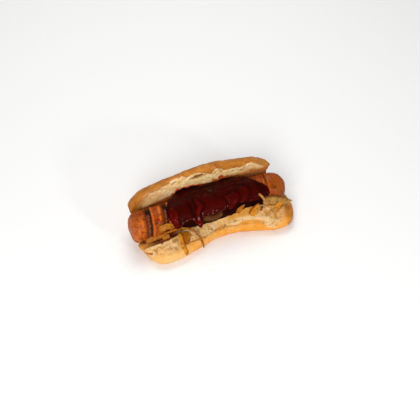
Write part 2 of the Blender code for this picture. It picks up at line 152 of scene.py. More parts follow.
# Onions: node, width, thickness, curl, twist in degrees, how pointed the last end is, the way the broad side
# faces, route
ONIONS = (("onion_petal", 9.4, 1.2, 0.16, 8, 1.0, TOWARDS_FRONT,
           ((53.0, -20.0, 33.6), (60.3, -20.4, 32.7), (68.2, -21.2, 30.6), (77.5, -22.2, 27.2),
            (87.0, -22.0, 23.4))),
          ("onion_strand_pale", 2.4, 1.1, 0.05, 25, -0.2, TOWARDS_FRONT,
           ((48.9, -17.4, 43.8), (51.4, -20.4, 41.0), (53.6, -22.2, 36.6), (54.6, -22.0, 31.6))),
          ("onion_chunk_middle", 7.4, 1.6, 0.14, -15, 0.75, TOWARDS_FRONT,
           ((38.4, -22.8, 20.8), (42.2, -21.6, 25.6), (48.2, -20.6, 32.4))),
          ("onion_chunk_right", 6.2, 1.8, 0.10, 10, 0.1, TOWARDS_FRONT,
           ((73.6, -23.6, 27.2), (68.6, -26.2, 25.8), (63.6, -28.4, 23.6))),
          ("onion_strand_right", 2.2, 1.3, 0.05, 20, 0.3, UPWARDS,
           ((55.6, -24.2, 29.0), (61.0, -24.8, 28.0), (68.8, -24.8, 26.6))),
          ("onion_wedge", 4.6, 1.8, 0.10, 0, 0.9, TOWARDS_FRONT,
           ((23.8, -18.8, 26.6), (27.7, -18.8, 31.1), (32.6, -18.4, 35.2))),
          ("onion_under_sauce", 6.4, 1.4, 0.16, 12, 0.4, TOWARDS_FRONT,
           ((-15.0, -16.6, 31.6), (-7.3, -17.8, 30.4), (0.5, -18.0, 29.6), (7.6, -17.8, 32.4))),
          ("onion_chunk_left", 6.4, 1.2, 0.12, -10, 0.2, TOWARDS_FRONT,
           ((-62.4, -17.2, 33.2), (-57.0, -17.8, 35.8), (-51.2, -17.8, 35.4), (-46.8, -17.6, 32.2))),
          ("onion_strip_inner", 5.6, 1.3, 0.08, 14, 0.0, TOWARDS_FRONT,
           ((-76.0, -14.0, 18.4), (-68.2, -15.0, 21.4), (-61.6, -15.6, 23.2), (-55.6, -15.6, 24.4))),
          ("onion_cube", 5.4, 2.4, 0.02, 0, 0.0, TOWARDS_FRONT,
           ((-59.6, -17.4, 20.8), (-55.6, -17.8, 21.6), (-51.8, -17.6, 22.4))),
          ("onion_arch", 2.1, 1.3, 0.05, 40, -0.5, UPWARDS,
           ((-57.6, -16.9, 26.0), (-46.9, -18.0, 28.2), (-37.5, -18.5, 28.0), (-30.0, -19.6, 24.8),
            (-25.4, -23.0, 22.0), (-22.4, -27.0, 18.0), (-20.6, -30.8, 13.0), (-19.8, -32.2, 9.0),
            (-19.6, -32.2, 5.8))),
          ("onion_strip_hanging", 4.8, 1.2, 0.08, 10, 0.1, UPWARDS,
           ((-39.8, -17.6, 21.4), (-41.2, -24.0, 19.4), (-41.6, -31.0, 16.2), (-40.4, -37.0, 11.2),
            (-39.7, -37.8, 8.2))),
          ("onion_patch", 8.8, 0.9, 0.04, 0, 0.8, UPWARDS,
           ((-33.8, -18.4, 20.8), (-35.4, -24.1, 18.4), (-37.4, -31.0, 15.6))))

HASH = np.array((73856093, 19349663, 83492791))
CORNERS = [np.array(corner) for corner in itertools.product((0, 1), repeat=3)]


# ---------------------------------------------------------------------------------------------
# Numbers over points

def scatter(cells, seed):
    """Three fixed random numbers from -1 to 1 for each whole-number cell."""
    mask = np.uint64(0xFFFFFFFF)
    key = (cells @ HASH + 977 * seed).astype(np.uint64) & mask
    numbers = []
    for _ in range(3):
        key = ((key ^ (key >> np.uint64(15))) * np.uint64(2246822519)) & mask
        key = key ^ (key >> np.uint64(13))
        numbers.append(key / 2.0**31 - 1)
    return np.stack(numbers, axis=-1)


def cloud(points, size, seed=0):
    """Smooth random values of about -1 to 1, with lumps about as large as size."""
    place = points / size + 31.7 * seed
    cell = np.floor(place).astype(np.int64)
    inside = place - cell
    ease = inside**3 * (inside * (inside * 6 - 15) + 10)
    total = np.zeros(len(points))
    for corner in CORNERS:
        weight = np.prod(np.where(corner, ease, 1 - ease), axis=1)
        total += weight * np.einsum("ij,ij->i", inside - corner, scatter(cell + corner, seed))
    return 1.5 * total


def layers(points, size, octaves=4, seed=0, keep=0.5):
    """Clouds of halving size and strength, added up."""
    strengths = [keep**octave for octave in range(octaves)]
    parts = [strength * cloud(points, size / 2**octave, seed + octave)
             for octave, strength in enumerate(strengths)]
    return np.sum(parts, axis=0) / sum(strengths) * 1.6


def creases(points, size, octaves=3, seed=0):
    """Sharp-backed ridges, from 0 in the hollows to 1 on the crests."""
    parts = [0.5**octave * (1 - np.abs(cloud(points, size / 2**octave, seed + octave)) * 2.2)
             for octave in range(octaves)]
    return np.clip(np.sum(parts, axis=0) / sum(0.5**octave for octave in range(octaves)), 0, 1)


def pores(points, size, seed=0):
    """Distance to the nearest of a loose scatter of pore centres, as a share of size."""
    place = points / size + 13.1 * seed
    cell = np.floor(place).astype(np.int64)
    nearest = np.full(len(points), 9.0)
    for offset in itertools.product((-1, 0, 1), repeat=3):
        neighbour = cell + np.array(offset)
        centre = neighbour + 0.5 + 0.42 * scatter(neighbour, seed)
        nearest = np.minimum(nearest, np.linalg.norm(place - centre, axis=1))
    return nearest


def fade(low, high, value):
    """0 below low and 1 above high, with a smooth step between; high may be the lower one."""
    t = np.clip((value - low) / (high - low), 0, 1)
    return t * t * (3 - 2 * t)


def bell(away, width):
    """1 where away is 0, falling off smoothly over about width on both sides."""
    return np.exp(-((away / width) ** 2))


def through(stations, x, column=1):
    """Values at x of the smooth curve through stations, each (x, value, ...)."""
    table = np.array(stations, float)
    places, values = table[:, 0], table[:, column]
    slopes = np.gradient(values, places)
    slopes[1:-1] = (values[2:] - values[:-2]) / (places[2:] - places[:-2])
    x = np.clip(x, places[0], places[-1])
    low = np.clip(np.searchsorted(places, x, "right") - 1, 0, len(places) - 2)
    span = places[low + 1] - places[low]
    t = (x - places[low]) / span
    level = values[low] + (values[low + 1] - values[low]) * t * t * (3 - 2 * t)
    return level + span * (slopes[low] * t * (1 - t) ** 2 - slopes[low + 1] * t * t * (1 - t))


def smooth_line(points, count):
    """count points on the smooth line through a few points of any dimension."""
    table = [(index, *point) for index, point in enumerate(points)]
    steps = np.linspace(0, len(points) - 1, count)
    return np.stack([through(table, steps, column + 1) for column in range(len(points[0]))], axis=1)


def near_line(places, line):
    """Distance to a line given by its points, how far along it (0 to 1), and which side (its left is +)."""
    line = np.asarray(line, float)
    best = np.full(len(places), 1e9)
    along = np.zeros(len(places))
    side = np.zeros(len(places))
    for index, (start, end) in enumerate(zip(line[:-1], line[1:])):
        run = end - start
        t = np.clip((places - start) @ run / (run @ run), 0, 1)
        away = places - start - t[:, None] * run
        distance = np.linalg.norm(away, axis=1)
        closer = distance < best
        best = np.where(closer, distance, best)
        along = np.where(closer, (index + t) / (len(line) - 1), along)
        if places.shape[1] == 2:
            side = np.where(closer, np.sign(run[0] * away[:, 1] - run[1] * away[:, 0]), side)
    return best, along, side


def sausage_radius(x):
    return SAUSAGE_RADIUS * (1 + 0.012 * np.sin(x / 17))


# ---------------------------------------------------------------------------------------------
# Meshes

def linked(name, mesh):
    made = bpy.data.objects.new(name, mesh)
    bpy.context.scene.collection.objects.link(made)
    return made


def mesh_of(name, points, faces):
    """A smooth mesh from points in millimetres off the seat."""
    mesh = bpy.data.meshes.new(name)
    mesh.from_pydata(((points + SEAT) * MM).tolist(), [], [list(face) for face in faces])
    mesh.validate()
    mesh.shade_smooth()
    return mesh


class Masks(dict):
    """Values of 0 to 1 over a mesh's points, by name."""

    def add(self, name, values):
        """Raises a mask to these values wherever they are higher."""
        self[name] = np.maximum(self.get(name, 0.0), values)


def paint_on(mesh, **masks):
    """Stores each mask as a value of every point, for the materials to read."""
    for name, values in masks.items():
        attribute = mesh.attributes.new(name, "FLOAT", "POINT")
        attribute.data.foreach_set("value", np.clip(values, 0, 1).astype(np.float32))


def points_of(mesh):
    """The mesh's points in millimetres off the seat, and its normals."""
    count = len(mesh.vertices)
    points = np.empty(count * 3)
    mesh.vertices.foreach_get("co", points)
    normals = np.empty(count * 3)
    mesh.vertex_normals.foreach_get("vector", normals)
    return points.reshape(-1, 3) / MM - SEAT, normals.reshape(-1, 3)


def move_points(mesh, points):
    mesh.vertices.foreach_set("co", ((points + SEAT) * MM).ravel())
    mesh.update()


def evened_copy(node, voxel, rounds):
    """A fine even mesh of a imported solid, with its facets smoothed away."""
    coarse = linked(node + "_coarse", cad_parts[node].data.copy())
    remesh = coarse.modifiers.new("even", "REMESH")
    remesh.mode = "VOXEL"
    remesh.voxel_size = voxel
    smooth = coarse.modifiers.new("smooth", "SMOOTH")
    smooth.factor = 0.5
    smooth.iterations = rounds
    graph = bpy.context.evaluated_depsgraph_get()
    mesh = bpy.data.meshes.new_from_object(coarse.evaluated_get(graph))
    bpy.data.objects.remove(coarse, do_unlink=True)
    mesh.materials.clear()
    mesh.shade_smooth()
    return mesh


def grid_faces(rows, columns, around=False):
    """Quads of a grid of rows by columns; around joins the last column to the first."""
    across = columns if around else columns - 1
    row, column = np.meshgrid(np.arange(rows - 1), np.arange(across), indexing="ij")
    after = (column + 1) % columns
    here, beyond = row * columns, (row + 1) * columns
    corners = (here + column, here + after, beyond + after, beyond + column)
    return np.stack([corner.ravel() for corner in corners], axis=1)


def closed_sheet(outer, inner, faces):
    """Points and faces of the solid between two like sheets, with a wall along their shared border."""
    count = len(outer)
    used = np.unique(faces)
    fresh = np.full(count, -1)
    fresh[used] = np.arange(len(used))
    top = fresh[faces]
    sides = np.concatenate([top[:, [0, 1]], top[:, [1, 2]], top[:, [2, 3]], top[:, [3, 0]]])
    key = np.sort(sides, axis=1) @ np.array((count, 1))
    _, index, times = np.unique(key, return_inverse=True, return_counts=True)
    border = sides[times[index.ravel()] == 1]
    below = len(used)
    wall = np.stack([border[:, 1], border[:, 0], border[:, 0] + below, border[:, 1] + below], axis=1)
    bottom = top[:, ::-1] + below
    return used, np.concatenate([outer[used], inner[used]]), np.concatenate([top, bottom, wall])


def placed(mesh, node, material):
    """The finished piece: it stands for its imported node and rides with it."""
    piece = linked(node + "_look", mesh)
    mesh.materials.append(material)
    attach(piece, "root")
    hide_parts(node)
    return piece


# ---------------------------------------------------------------------------------------------
# Materials

def shade(red, green, blue):
    """A screen colour of 0 to 255 as the linear colour that Blender mixes."""
    values = [value / 255 for value in (red, green, blue)]
    return tuple(value / 12.92 if value <= 0.04045 else ((value + 0.055) / 1.055) ** 2.4 for value in values)


def put(tree, kind, inputs=(), **settings):
    """Adds a node; inputs maps a socket's name or number to a value or to the socket that feeds it."""
    node = tree.nodes.new(kind)
    for name, value in settings.items():
        setattr(node, name, value)
    for key, value in dict(inputs).items():
        if isinstance(value, bpy.types.NodeSocket):
            tree.links.new(value, node.inputs[key])
        elif hasattr(value, "__len__") and len(value) == 3 and len(node.inputs[key].default_value) == 4:
            node.inputs[key].default_value = (*value, 1.0)
        else:
            node.inputs[key].default_value = value
    return node


def sum_of(tree, operation, first, second):
    """The result of one sum of two numbers or sockets."""
    return put(tree, "ShaderNodeMath", {0: first, 1: second}, operation=operation).outputs[0]


def spread(tree, value, low, high, start=0.0, end=1.0):
    """Maps low to start and high to end, held inside them."""
    span = put(tree, "ShaderNodeMapRange", {0: value, 1: low, 2: high, 3: start, 4: end},
               interpolation_type="SMOOTHSTEP")
    return span.outputs[0]


def weaker(tree, mask, strength):
    """A mask times strength."""
    return mask if strength == 1 else sum_of(tree, "MULTIPLY", mask, strength)


def stored(tree, name, strength=1.0):
    """A mask stored on the mesh's points."""
    return weaker(tree, put(tree, "ShaderNodeAttribute", attribute_name=name).outputs["Fac"], strength)


def layered(tree, colour, *coats):
    """Lays colours over each other in turn, each where its mask is 1; coats are (mask, colour)."""
    for mask, over in coats:
        mix = put(tree, "ShaderNodeMix", data_type="RGBA", clamp_factor=True)
        for socket, value in ((mix.inputs[0], mask), (mix.inputs[6], colour), (mix.inputs[7], over)):
            if isinstance(value, bpy.types.NodeSocket):
                tree.links.new(value, socket)
            else:
                socket.default_value = (*value, 1.0)
        colour = mix.outputs[2]
    return colour


def new_group(name, inputs, output):
    """A node group's tree, its inputs, and the place on the object times its Stretch."""
    tree = bpy.data.node_groups.new(name, "ShaderNodeTree")
    for title, default in inputs.items():
        kind = "NodeSocketVector" if title == "Stretch" else "NodeSocketFloat"
        tree.interface.new_socket(title, in_out="INPUT", socket_type=kind).default_value = default
    tree.interface.new_socket(output, in_out="OUTPUT", socket_type="NodeSocketFloat")
    given = tree.nodes.new("NodeGroupInput").outputs
    place = put(tree, "ShaderNodeTexCoord").outputs["Object"]
    stretched = put(tree, "ShaderNodeVectorMath", {0: place, 1: given["Stretch"]}, operation="MULTIPLY")
    return tree, given, stretched.outputs[0]


def patches_group():
    """Soft-edged patches: a mask with patches of about Size, more of it covered as Amount goes up."""
    if "Patches" in bpy.data.node_groups:
        return bpy.data.node_groups["Patches"]
    inputs = {"Size": 0.004, "Amount": 0.5, "Softness": 0.1, "Raggedness": 0.55, "Stretch": (1.0, 1.0, 1.0)}
    tree, given, place = new_group("Patches", inputs, "Mask")
    scale = sum_of(tree, "DIVIDE", 1.0, given["Size"])
    noise = put(tree, "ShaderNodeTexNoise", {"Vector": place, "Scale": scale, "Detail": 5.0,
                                             "Roughness": given["Raggedness"]}).outputs[0]
    middle = put(tree, "ShaderNodeMapRange", {0: given["Amount"], 1: 0.0, 2: 1.0, 3: 0.72, 4: 0.28})
    middle = middle.outputs[0]
    low = sum_of(tree, "SUBTRACT", middle, given["Softness"])
    high = sum_of(tree, "ADD", middle, given["Softness"])
    put(tree, "NodeGroupOutput", {"Mask": spread(tree, noise, low, high)})
    return tree


def grain_group():
    """Fine relief: a height of 0 to 1 made of lumps of Size with small pits of Pit Size sunk into them."""
    if "Grain" in bpy.data.node_groups:
        return bpy.data.node_groups["Grain"]
    inputs = {"Size": 0.002, "Pit Size": 0.001, "Pits": 0.5, "Stretch": (1.0, 1.0, 1.0)}
    tree, given, place = new_group("Grain", inputs, "Height")
    coarse = sum_of(tree, "DIVIDE", 1.0, given["Size"])
    lumps = put(tree, "ShaderNodeTexNoise", {"Vector": place, "Scale": coarse, "Detail": 6.0,
                                             "Roughness": 0.6}).outputs[0]
    fine = sum_of(tree, "DIVIDE", 1.0, given["Pit Size"])
    cells = put(tree, "ShaderNodeTexVoronoi", {"Vector": place, "Scale": fine, "Randomness": 1.0}).outputs[0]
    pit = sum_of(tree, "MULTIPLY", spread(tree, cells, 0.38, 0.12), given["Pits"])
    put(tree, "NodeGroupOutput", {"Height": sum_of(tree, "SUBTRACT", lumps, pit)})
    return tree


def patches(tree, size, amount=0.5, softness=0.1, raggedness=0.55, stretch=(1.0, 1.0, 1.0), strength=1.0):
    inputs = {"Size": size, "Amount": amount, "Softness": softness, "Raggedness": raggedness,
              "Stretch": stretch}
    mask = put(tree, "ShaderNodeGroup", inputs, node_tree=patches_group()).outputs["Mask"]
    return weaker(tree, mask, strength)


def grain(tree, size, pit_size, pits):
    inputs = {"Size": size, "Pit Size": pit_size, "Pits": pits}
    return put(tree, "ShaderNodeGroup", inputs, node_tree=grain_group()).outputs["Height"]


def new_material(name):
    """An empty material and its tree."""
    material = bpy.data.materials.new(name)
    material.use_nodes = True
    material.node_tree.nodes.clear()
    return material, material.node_tree


def surfaced(material, relief, inputs):
    """The material with its shader; relief is a height, how tall it is in metres, and its strength."""
    tree = material.node_tree
    if relief:
        bump = put(tree, "ShaderNodeBump", dict(zip(("Height", "Distance", "Strength"), relief)))
        inputs["Normal"] = bump.outputs[0]
    shader = put(tree, "ShaderNodeBsdfPrincipled", inputs)
    put(tree, "ShaderNodeOutputMaterial", {"Surface": shader.outputs[0]})
    return material


def bread_material(look):
    material, tree = new_material("baked bread")
    uneven = sum_of(tree, "SUBTRACT", patches(tree, 0.011, 0.5, 0.22, 0.6), 0.5)
    bake = sum_of(tree, "ADD", stored(tree, "bake"), sum_of(tree, "MULTIPLY", uneven, 0.28))
    crust = layered(tree, look.crust_pale,
                    (spread(tree, bake, 0.0, 0.35), look.crust_golden),
                    (spread(tree, bake, 0.35, 0.68), look.crust_tan),
                    (spread(tree, bake, 0.66, 1.0), look.crust_brown),
                    (patches(tree, 0.0016, 0.34, 0.08, 0.7, strength=0.15), look.crust_brown),
                    (patches(tree, 0.0035, 0.26, 0.10, 0.6, (0.6, 1.0, 1.0), 0.25), look.crust_pale))
    crumb = layered(tree, look.crumb_cream,
                    (patches(tree, 0.006, 0.5, 0.18), look.crumb_warm),
                    (patches(tree, 0.0022, 0.4, 0.12, 0.7, strength=0.55), look.crumb_shade),
                    # Painted shade in the crumb's hollows, pores, folds, dents and the bed's wall
                    (stored(tree, "hollow", 0.85), look.crumb_in_shade),
                    # Toasted crumb, and painted shade in the frill's hollows and along grooves
                    (stored(tree, "toast_and_shade"), look.toast_and_shade),
                    # Pale crumb, with a painted highlight on the lower half's front ridge
                    (stored(tree, "pale", 0.8), look.crumb_pale),
                    (stored(tree, "stain"), look.stain))
    colour = layered(tree, crust,
                     (stored(tree, "crumb"), crumb),
                     # Onion oil colour, and painted shade at the lid's right by the sausage and on the bed's
                     # wall
                     (stored(tree, "oil", 0.7), look.oil),
                     # Painted shade inside the tears in the lid
                     (stored(tree, "slit"), look.slit),
                     # Painted shade in the crust's creases, the notch and the trench
                     (stored(tree, "crease_shade"), look.crease_shade),
                     (stored(tree, "shadow"), look.shadow),
                     # Painted shade along the sauce's edge on the lid, over crumb soaked dark
                     (stored(tree, "soaked_and_shade"), look.soaked_and_shade))
    height = put(tree, "ShaderNodeMix", {0: stored(tree, "crumb"), 2: grain(tree, 0.0030, 0.0007, 0.12),
                                         3: grain(tree, 0.0013, 0.0011, 0.45)}).outputs[0]
    rough = spread(tree, stored(tree, "crumb"), 0.0, 1.0, 0.52, 0.88)
    return surfaced(material, (height, 0.0006, 0.6), {
        "Base Color": colour, "Roughness": rough, "Specular IOR Level": 0.16,
        "Subsurface Weight": 0.12, "Subsurface Radius": (1.0, 0.45, 0.2), "Subsurface Scale": 0.0015})


def sausage_material(look):
    material, tree = new_material("grilled sausage skin")
    walls = layered(tree, look.cut_wall, (patches(tree, 0.0022, 0.5, 0.15), look.skin_dark))
    skin = layered(tree, look.skin_brown,
                   (patches(tree, 0.009, 0.5, 0.20), look.skin_orange),
                   (patches(tree, 0.0032, 0.42, 0.10, 0.65, (0.6, 1.0, 1.0), 0.6), look.skin_dark),
                   (stored(tree, "even", 0.75), look.skin_even),
                   # Painted light on ribs, lump crests and the left end's streaks, and lighter spots
                   (stored(tree, "bright", 0.9), look.skin_bright_and_lit),
                   (stored(tree, "rosy", 0.8), look.skin_rosy),
                   (patches(tree, 0.0011, 0.22, 0.05, 0.7, strength=0.45), look.char),
                   # Painted shade on the sloping side of each score
                   (stored(tree, "bank", 0.8), look.skin_dark),
                   (stored(tree, "cut"), walls),
                   # Burnt places, and painted shade in the scores' seams and the wrinkles
                   (stored(tree, "char"), look.char),
                   (stored(tree, "drop"), look.sauce_drop))
    greasy = spread(tree, patches(tree, 0.004, 0.45, 0.12, 0.6, (0.5, 1.0, 1.0)), 0.0, 1.0, 0.02, 0.22)
    rough = spread(tree, patches(tree, 0.005, 0.5, 0.2), 0.0, 1.0, 0.34, 0.56)
    return surfaced(material, (grain(tree, 0.0016, 0.0009, 0.25), 0.0005, 0.55), {
        "Base Color": skin, "Roughness": rough, "Specular IOR Level": 0.06,
        "Coat Weight": greasy, "Coat Roughness": 0.26})


# The near-black sheet on the skin below the sauce: painted shade
def shade_film_material(look):
    material, tree = new_material("thin sauce film")
    colour = layered(tree, look.film, (patches(tree, 0.004, 0.45, 0.15), look.deep))
    return surfaced(material, (grain(tree, 0.0018, 0.0012, 0.05), 0.0005, 0.5),
                    {"Base Color": colour, "Roughness": 0.45, "Specular IOR Level": 0.015})


def sauce_material(look):
    material, tree = new_material("thick curry sauce")
    colour = layered(tree, look.deep,
                     (patches(tree, 0.008, 0.5, 0.2), look.body),
                     (patches(tree, 0.0028, 0.4, 0.12, strength=0.35), look.deep),
                     # Thin edges, and painted light on the lower rims and lobes
                     (stored(tree, "bright"), look.bright),
                     # Painted shade in the creases between lobes
                     (stored(tree, "gap", 0.5), look.film),
                     # Painted shade on thin places, the back edge by the lid and the crevice
                     (stored(tree, "film"), look.film))
    rough = spread(tree, patches(tree, 0.006, 0.5, 0.25), 0.0, 1.0, 0.26, 0.42)
    gloss = spread(tree, stored(tree, "shine"), 0.0, 1.0, 0.0, look.shine)
    return surfaced(material, (grain(tree, 0.0026, 0.0012, 0.05), 0.0006, 0.35), {
        "Base Color": colour, "Roughness": rough, "Specular IOR Level": 0.02,
        "Coat Weight": gloss, "Coat IOR": 2.3, "Coat Roughness": 0.13,
        "Subsurface Weight": 0.05, "Subsurface Radius": (1.0, 0.12, 0.04), "Subsurface Scale": 0.0012})


def onion_material(name, look, light, mid, dark, rim):
    material, tree = new_material(name)
    colour = layered(tree, light,
                     (patches(tree, 0.006, 0.5, 0.2, 0.6, (0.7, 1.0, 1.0)), mid),
                     (patches(tree, 0.0018, 0.42, 0.12, 0.7, strength=0.6), mid),
                     # Painted light and shade: one side of the strip takes the shaded colour and the other
                     # side the rim colour
                     (spread(tree, stored(tree, "side"), 0.30, 0.05), dark),
                     (spread(tree, stored(tree, "side"), 0.72, 0.92), rim),
                     (stored(tree, "edge"), dark),
                     (patches(tree, 0.0030, 0.30, 0.08, 0.65, strength=0.8), look.browned))
    return surfaced(material, (grain(tree, 0.0012, 0.0008, 0.15), 0.0004, 0.5), {
        "Base Color": colour, "Roughness": 0.42, "Specular IOR Level": 0.08,
        "Coat Weight": 0.05, "Coat Roughness": 0.2,
        "Subsurface Weight": 0.35, "Subsurface Radius": (1.0, 0.5, 0.15), "Subsurface Scale": 0.0018})


def bits_material(name, light, dark, rough):
    material, tree = new_material(name)
    colour = layered(tree, light, (patches(tree, 0.0012, 0.5, 0.15), dark))
    return surfaced(material, (grain(tree, 0.0008, 0.0005, 0.4), 0.0003, 0.6),
                    {"Base Color": colour, "Roughness": rough, "Specular IOR Level": 0.15})


# ---------------------------------------------------------------------------------------------
# Bread

# On the lid a place is (x, how far out from the hinge), on the lower half it is (x, y)
# Tears in the lid's crumb: half width, route
LID_SLITS = ((3.0, ((-14.5, 45.2), (-10, 45.2), (-5.2, 44.8), (-0.5, 44.5), (5, 43.8))),
             (1.5, ((-34.0, 44.2), (-31.0, 46.6), (-27.0, 47.6))),
             (1.2, ((10.6, 41.4), (13.6, 43.2), (17.0, 45.4))),
             (1.0, ((-51.0, 40.0), (-47.0, 42.0), (-42.5, 39.8))))
# Folds in the lid's crumb, and creases in its crust
LID_FOLDS = (((-34.5, 43.0), (-31.5, 47), (-26.0, 48.2)), ((-35.0, 37.0), (-31.5, 40.5), (-27.5, 37.6)),
             ((-30.5, 34.5), (-25.0, 37.2), (-20.5, 36.0)),
             ((-58.0, 41.0), (-52.5, 45.5), (-46.0, 46.5)),
             ((12.2, 44.3), (14.8, 47.9), (18.7, 48.7), (21.5, 50)),
             ((26.6, 41.7), (29.8, 44.3), (37.8, 45.4)))
CRUST_CREASES = (((14.7, 19.5, 67.8), (15.9, 16.5, 65.9), (22, 17.1, 54.7)),
                 ((-7.5, 16.8, 64.0), (-5.0, 16.2, 61.5), (-3.5, 16.4, 58.5)),
                 ((51.5, 17.9, 62.7), (49.2, 16.6, 59.6), (46.6, 17.8, 48.1)))
# How far out the sauce has stained the lid, and stains beyond that: place, radius
STAIN_EDGE = ((-34, 23), (-31, 28.5), (-29.3, 31.0), (-25.4, 31.8), (-19.8, 32.4), (-14.2, 32.8),
              (-8.5, 31.8), (-2.7, 29.6), (3, 28.6), (8.7, 27.4), (12.3, 27.0), (15.4, 27.4),
              (17.9, 28.2), (20, 29.2), (23.4, 30.2), (27, 30.2), (30.5, 29.4), (36, 27), (44, 24),
              (52, 20))
STAIN_SPOTS = ((20.8, 34.6, 4.0), (14.2, 30.6, 3.8), (28.2, 32.4, 2.8), (23.6, 32.6, 2.6),
               (-28.5, 32.5, 3.0), (-25.5, 33.6, 1.6), (-33.5, 29.0, 2.0))
# How far out a painted shadow from the sausage reaches on the lid, and smudges beyond that, partly smeared
# crust and partly painted shade: place, radius
LID_SHADE = ((-80, 14), (-74.4, 16.8), (-70, 18.9), (-61, 20.2), (-53.3, 22.4), (-45.5, 24.2),
             (-36.5, 26.4), (-30, 28.5), (0, 29), (28, 31.5), (34, 30), (41, 29.3), (57, 29.2),
             (64.5, 30.4), (74, 31.6), (80, 32))
CRUMB_SMUDGES = ((-65.1, 30.1, 1.6), (-71.5, 21.0, 1.6), (-59.8, 33.5, 1.2), (-27.8, 37.0, 3.4),
                 (-32.6, 39.4, 2.4), (-34.2, 46.0, 2.2), (-22.0, 35.5, 2.6), (-41.0, 47.6, 2.8),
                 (-46.8, 50.2, 2.6))
# On the lower half: a raised ridge with a painted highlight, and dents and grooves with painted shade
LOWER_RIDGE = ((13, -19.4), (22, -20.6), (30, -21.4), (38, -23.4), (47.4, -26.2), (57, -29.5))
LOWER_DENTS = (((-48.4, -22.4), (-44.9, -21.0)),
               ((54, -24.5), (58, -26.2), (62, -25), (64.5, -28), (64, -31)))
SHADED_GROOVES = (((-66, -24), (-63, -26.2), (-60.5, -25.4)), ((-59, -28.4), (-55, -29.6), (-51, -29.0)),
                 ((-70.8, -27.6), (-70.3, -31.5)), ((55.4, -20.4), (57.4, -19.2)))
# How far the crumb is pushed up against the sausage's front, and where that rise starts
BED_RISE = ((0, 0), (6, 2.4), (12, 5.4), (20, 8.2), (29, 8.4), (36, 6.2), (43, 3.0), (50, 0.7),
            (58, 0.0), (66, 0))
RISE_START = ((0, -18.0), (16, -18.8), (27, -20.2), (37, -22.4), (47, -24.6), (66, -25.0))
# The front edge of the trench between the left bed and the sausage
TRENCH_EDGE = ((-82, -14), (-77, -17.6), (-69, -19.4), (-60, -20.2), (-54.6, -20), (-48.5, -18.8),
               (-42.4, -17.4), (-36, -15))
# A notch in the crust of the left end, and the tip that bulges out beside it
NOTCH = ((-80, -13, 7.6), (-78.4, -18.1, 8.8), (-77.5, -22, 10), (-74.8, -26.8, 12.6))
LEFT_TIP = (-78.5, -11.0, 13.5)
# How far from the middle the lower half's crumb and the bed under the sausage reach
CRUMB_END = 80.5
BED_END = 86
# The bed stays this far off the sausage
CLEARANCE = 0.35


def bread_places(mesh):
    """Where each of the bread's points lies: along x, on the lid, and on the lower half."""
    points, normals = points_of(mesh)
    x, y, z = points.T
    back, up = y - HINGE[0], z - HINGE[1]
    out = up * math.sin(LID_ANGLE) - back * math.cos(LID_ANGLE)
    deep = back * math.sin(LID_ANGLE) + up * math.cos(LID_ANGLE)
    rag = 1.1 * layers(points, 6.0, 4, 3) + 0.5 * cloud(points, 1.7, 8)
    return SimpleNamespace(points=points, normals=normals, x=x, y=y, z=z, out=out, deep=deep, rag=rag,
                           lid_map=np.stack([x, out], axis=1), floor_map=np.stack([x, y], axis=1),
                           lower=(z < LID_FOOT) & (deep < -2))


def tear_open(at):
    """Finds the crumb, ragged where the roll was torn open, and how far each point is off its border."""
    x, y, z, out, deep, rag = at.x, at.y, at.z, at.out, at.deep, at.rag
    line = smooth_line(LID_BORDER, 140)
    inside_lid = near_line(at.lid_map, line)[0] * np.where(through(line, x) > out, 1, -1)
    past_ends = (x < LID_BORDER[0][0]) | (x > LID_BORDER[-1][0])
    inside_lid = np.where(past_ends, -np.abs(inside_lid), inside_lid) + 0.8 * rag
    soft = 0.35 + 4.8 * fade(-54, -66, x) + 1.6 * fade(52, 62, x)
    soft += 1.6 * fade(-64, -58, x) * fade(-38, -46, x)
    at.lid_crumb = fade(-soft, soft, inside_lid) * fade(2.6, 1.6, deep + 0.3 * rag) * fade(-6, -3, deep)
    at.lid_crumb *= z > 12.5
    over_rim = (z - through(RIM_HEIGHT, x)) * 1.4 + 0.6
    inside_lower = np.minimum(y - through(LOWER_BORDER, x), over_rim) + 0.8 * rag + 2.6 * bell(x + 13, 9)
    inside_lower = np.minimum(inside_lower, CRUMB_END - np.abs(x) + rag)
    soft = 0.8 + 2.6 * fade(47, 58, x) + 2.6 * fade(62, 72, x) + 1.6 * fade(-30, -16, x) * fade(26, 18, x)
    soft += 2.6 * fade(-36, -46, x) + 7.0 * fade(66, 76, x)
    uneven = fade(47, 58, x) * 2.2 * layers(at.points, 8, 3, 9)
    upright = at.normals[:, 2]
    lower_crumb = fade(-soft, soft, inside_lower + uneven)
    lower_crumb *= (z < LID_FOOT) & (deep < -0.5) & (upright > -0.3)
    behind = (np.abs(x) > 60) & (y > 12) & (z < 20) & (upright > 0.3) & (deep < 4)
    lower_crumb = np.maximum(lower_crumb, behind * fade(26, 24, y + rag) * fade(-0.35, 0.35, inside_lower))
    at.crumb = np.maximum(at.lid_crumb, lower_crumb)
    at.on_lid = at.lid_crumb > lower_crumb
    at.border = np.abs(np.where((z > LID_FOOT) | (deep > -4), inside_lid, inside_lower))
    at.border *= np.where(at.crumb > 0.5, 1, -1)


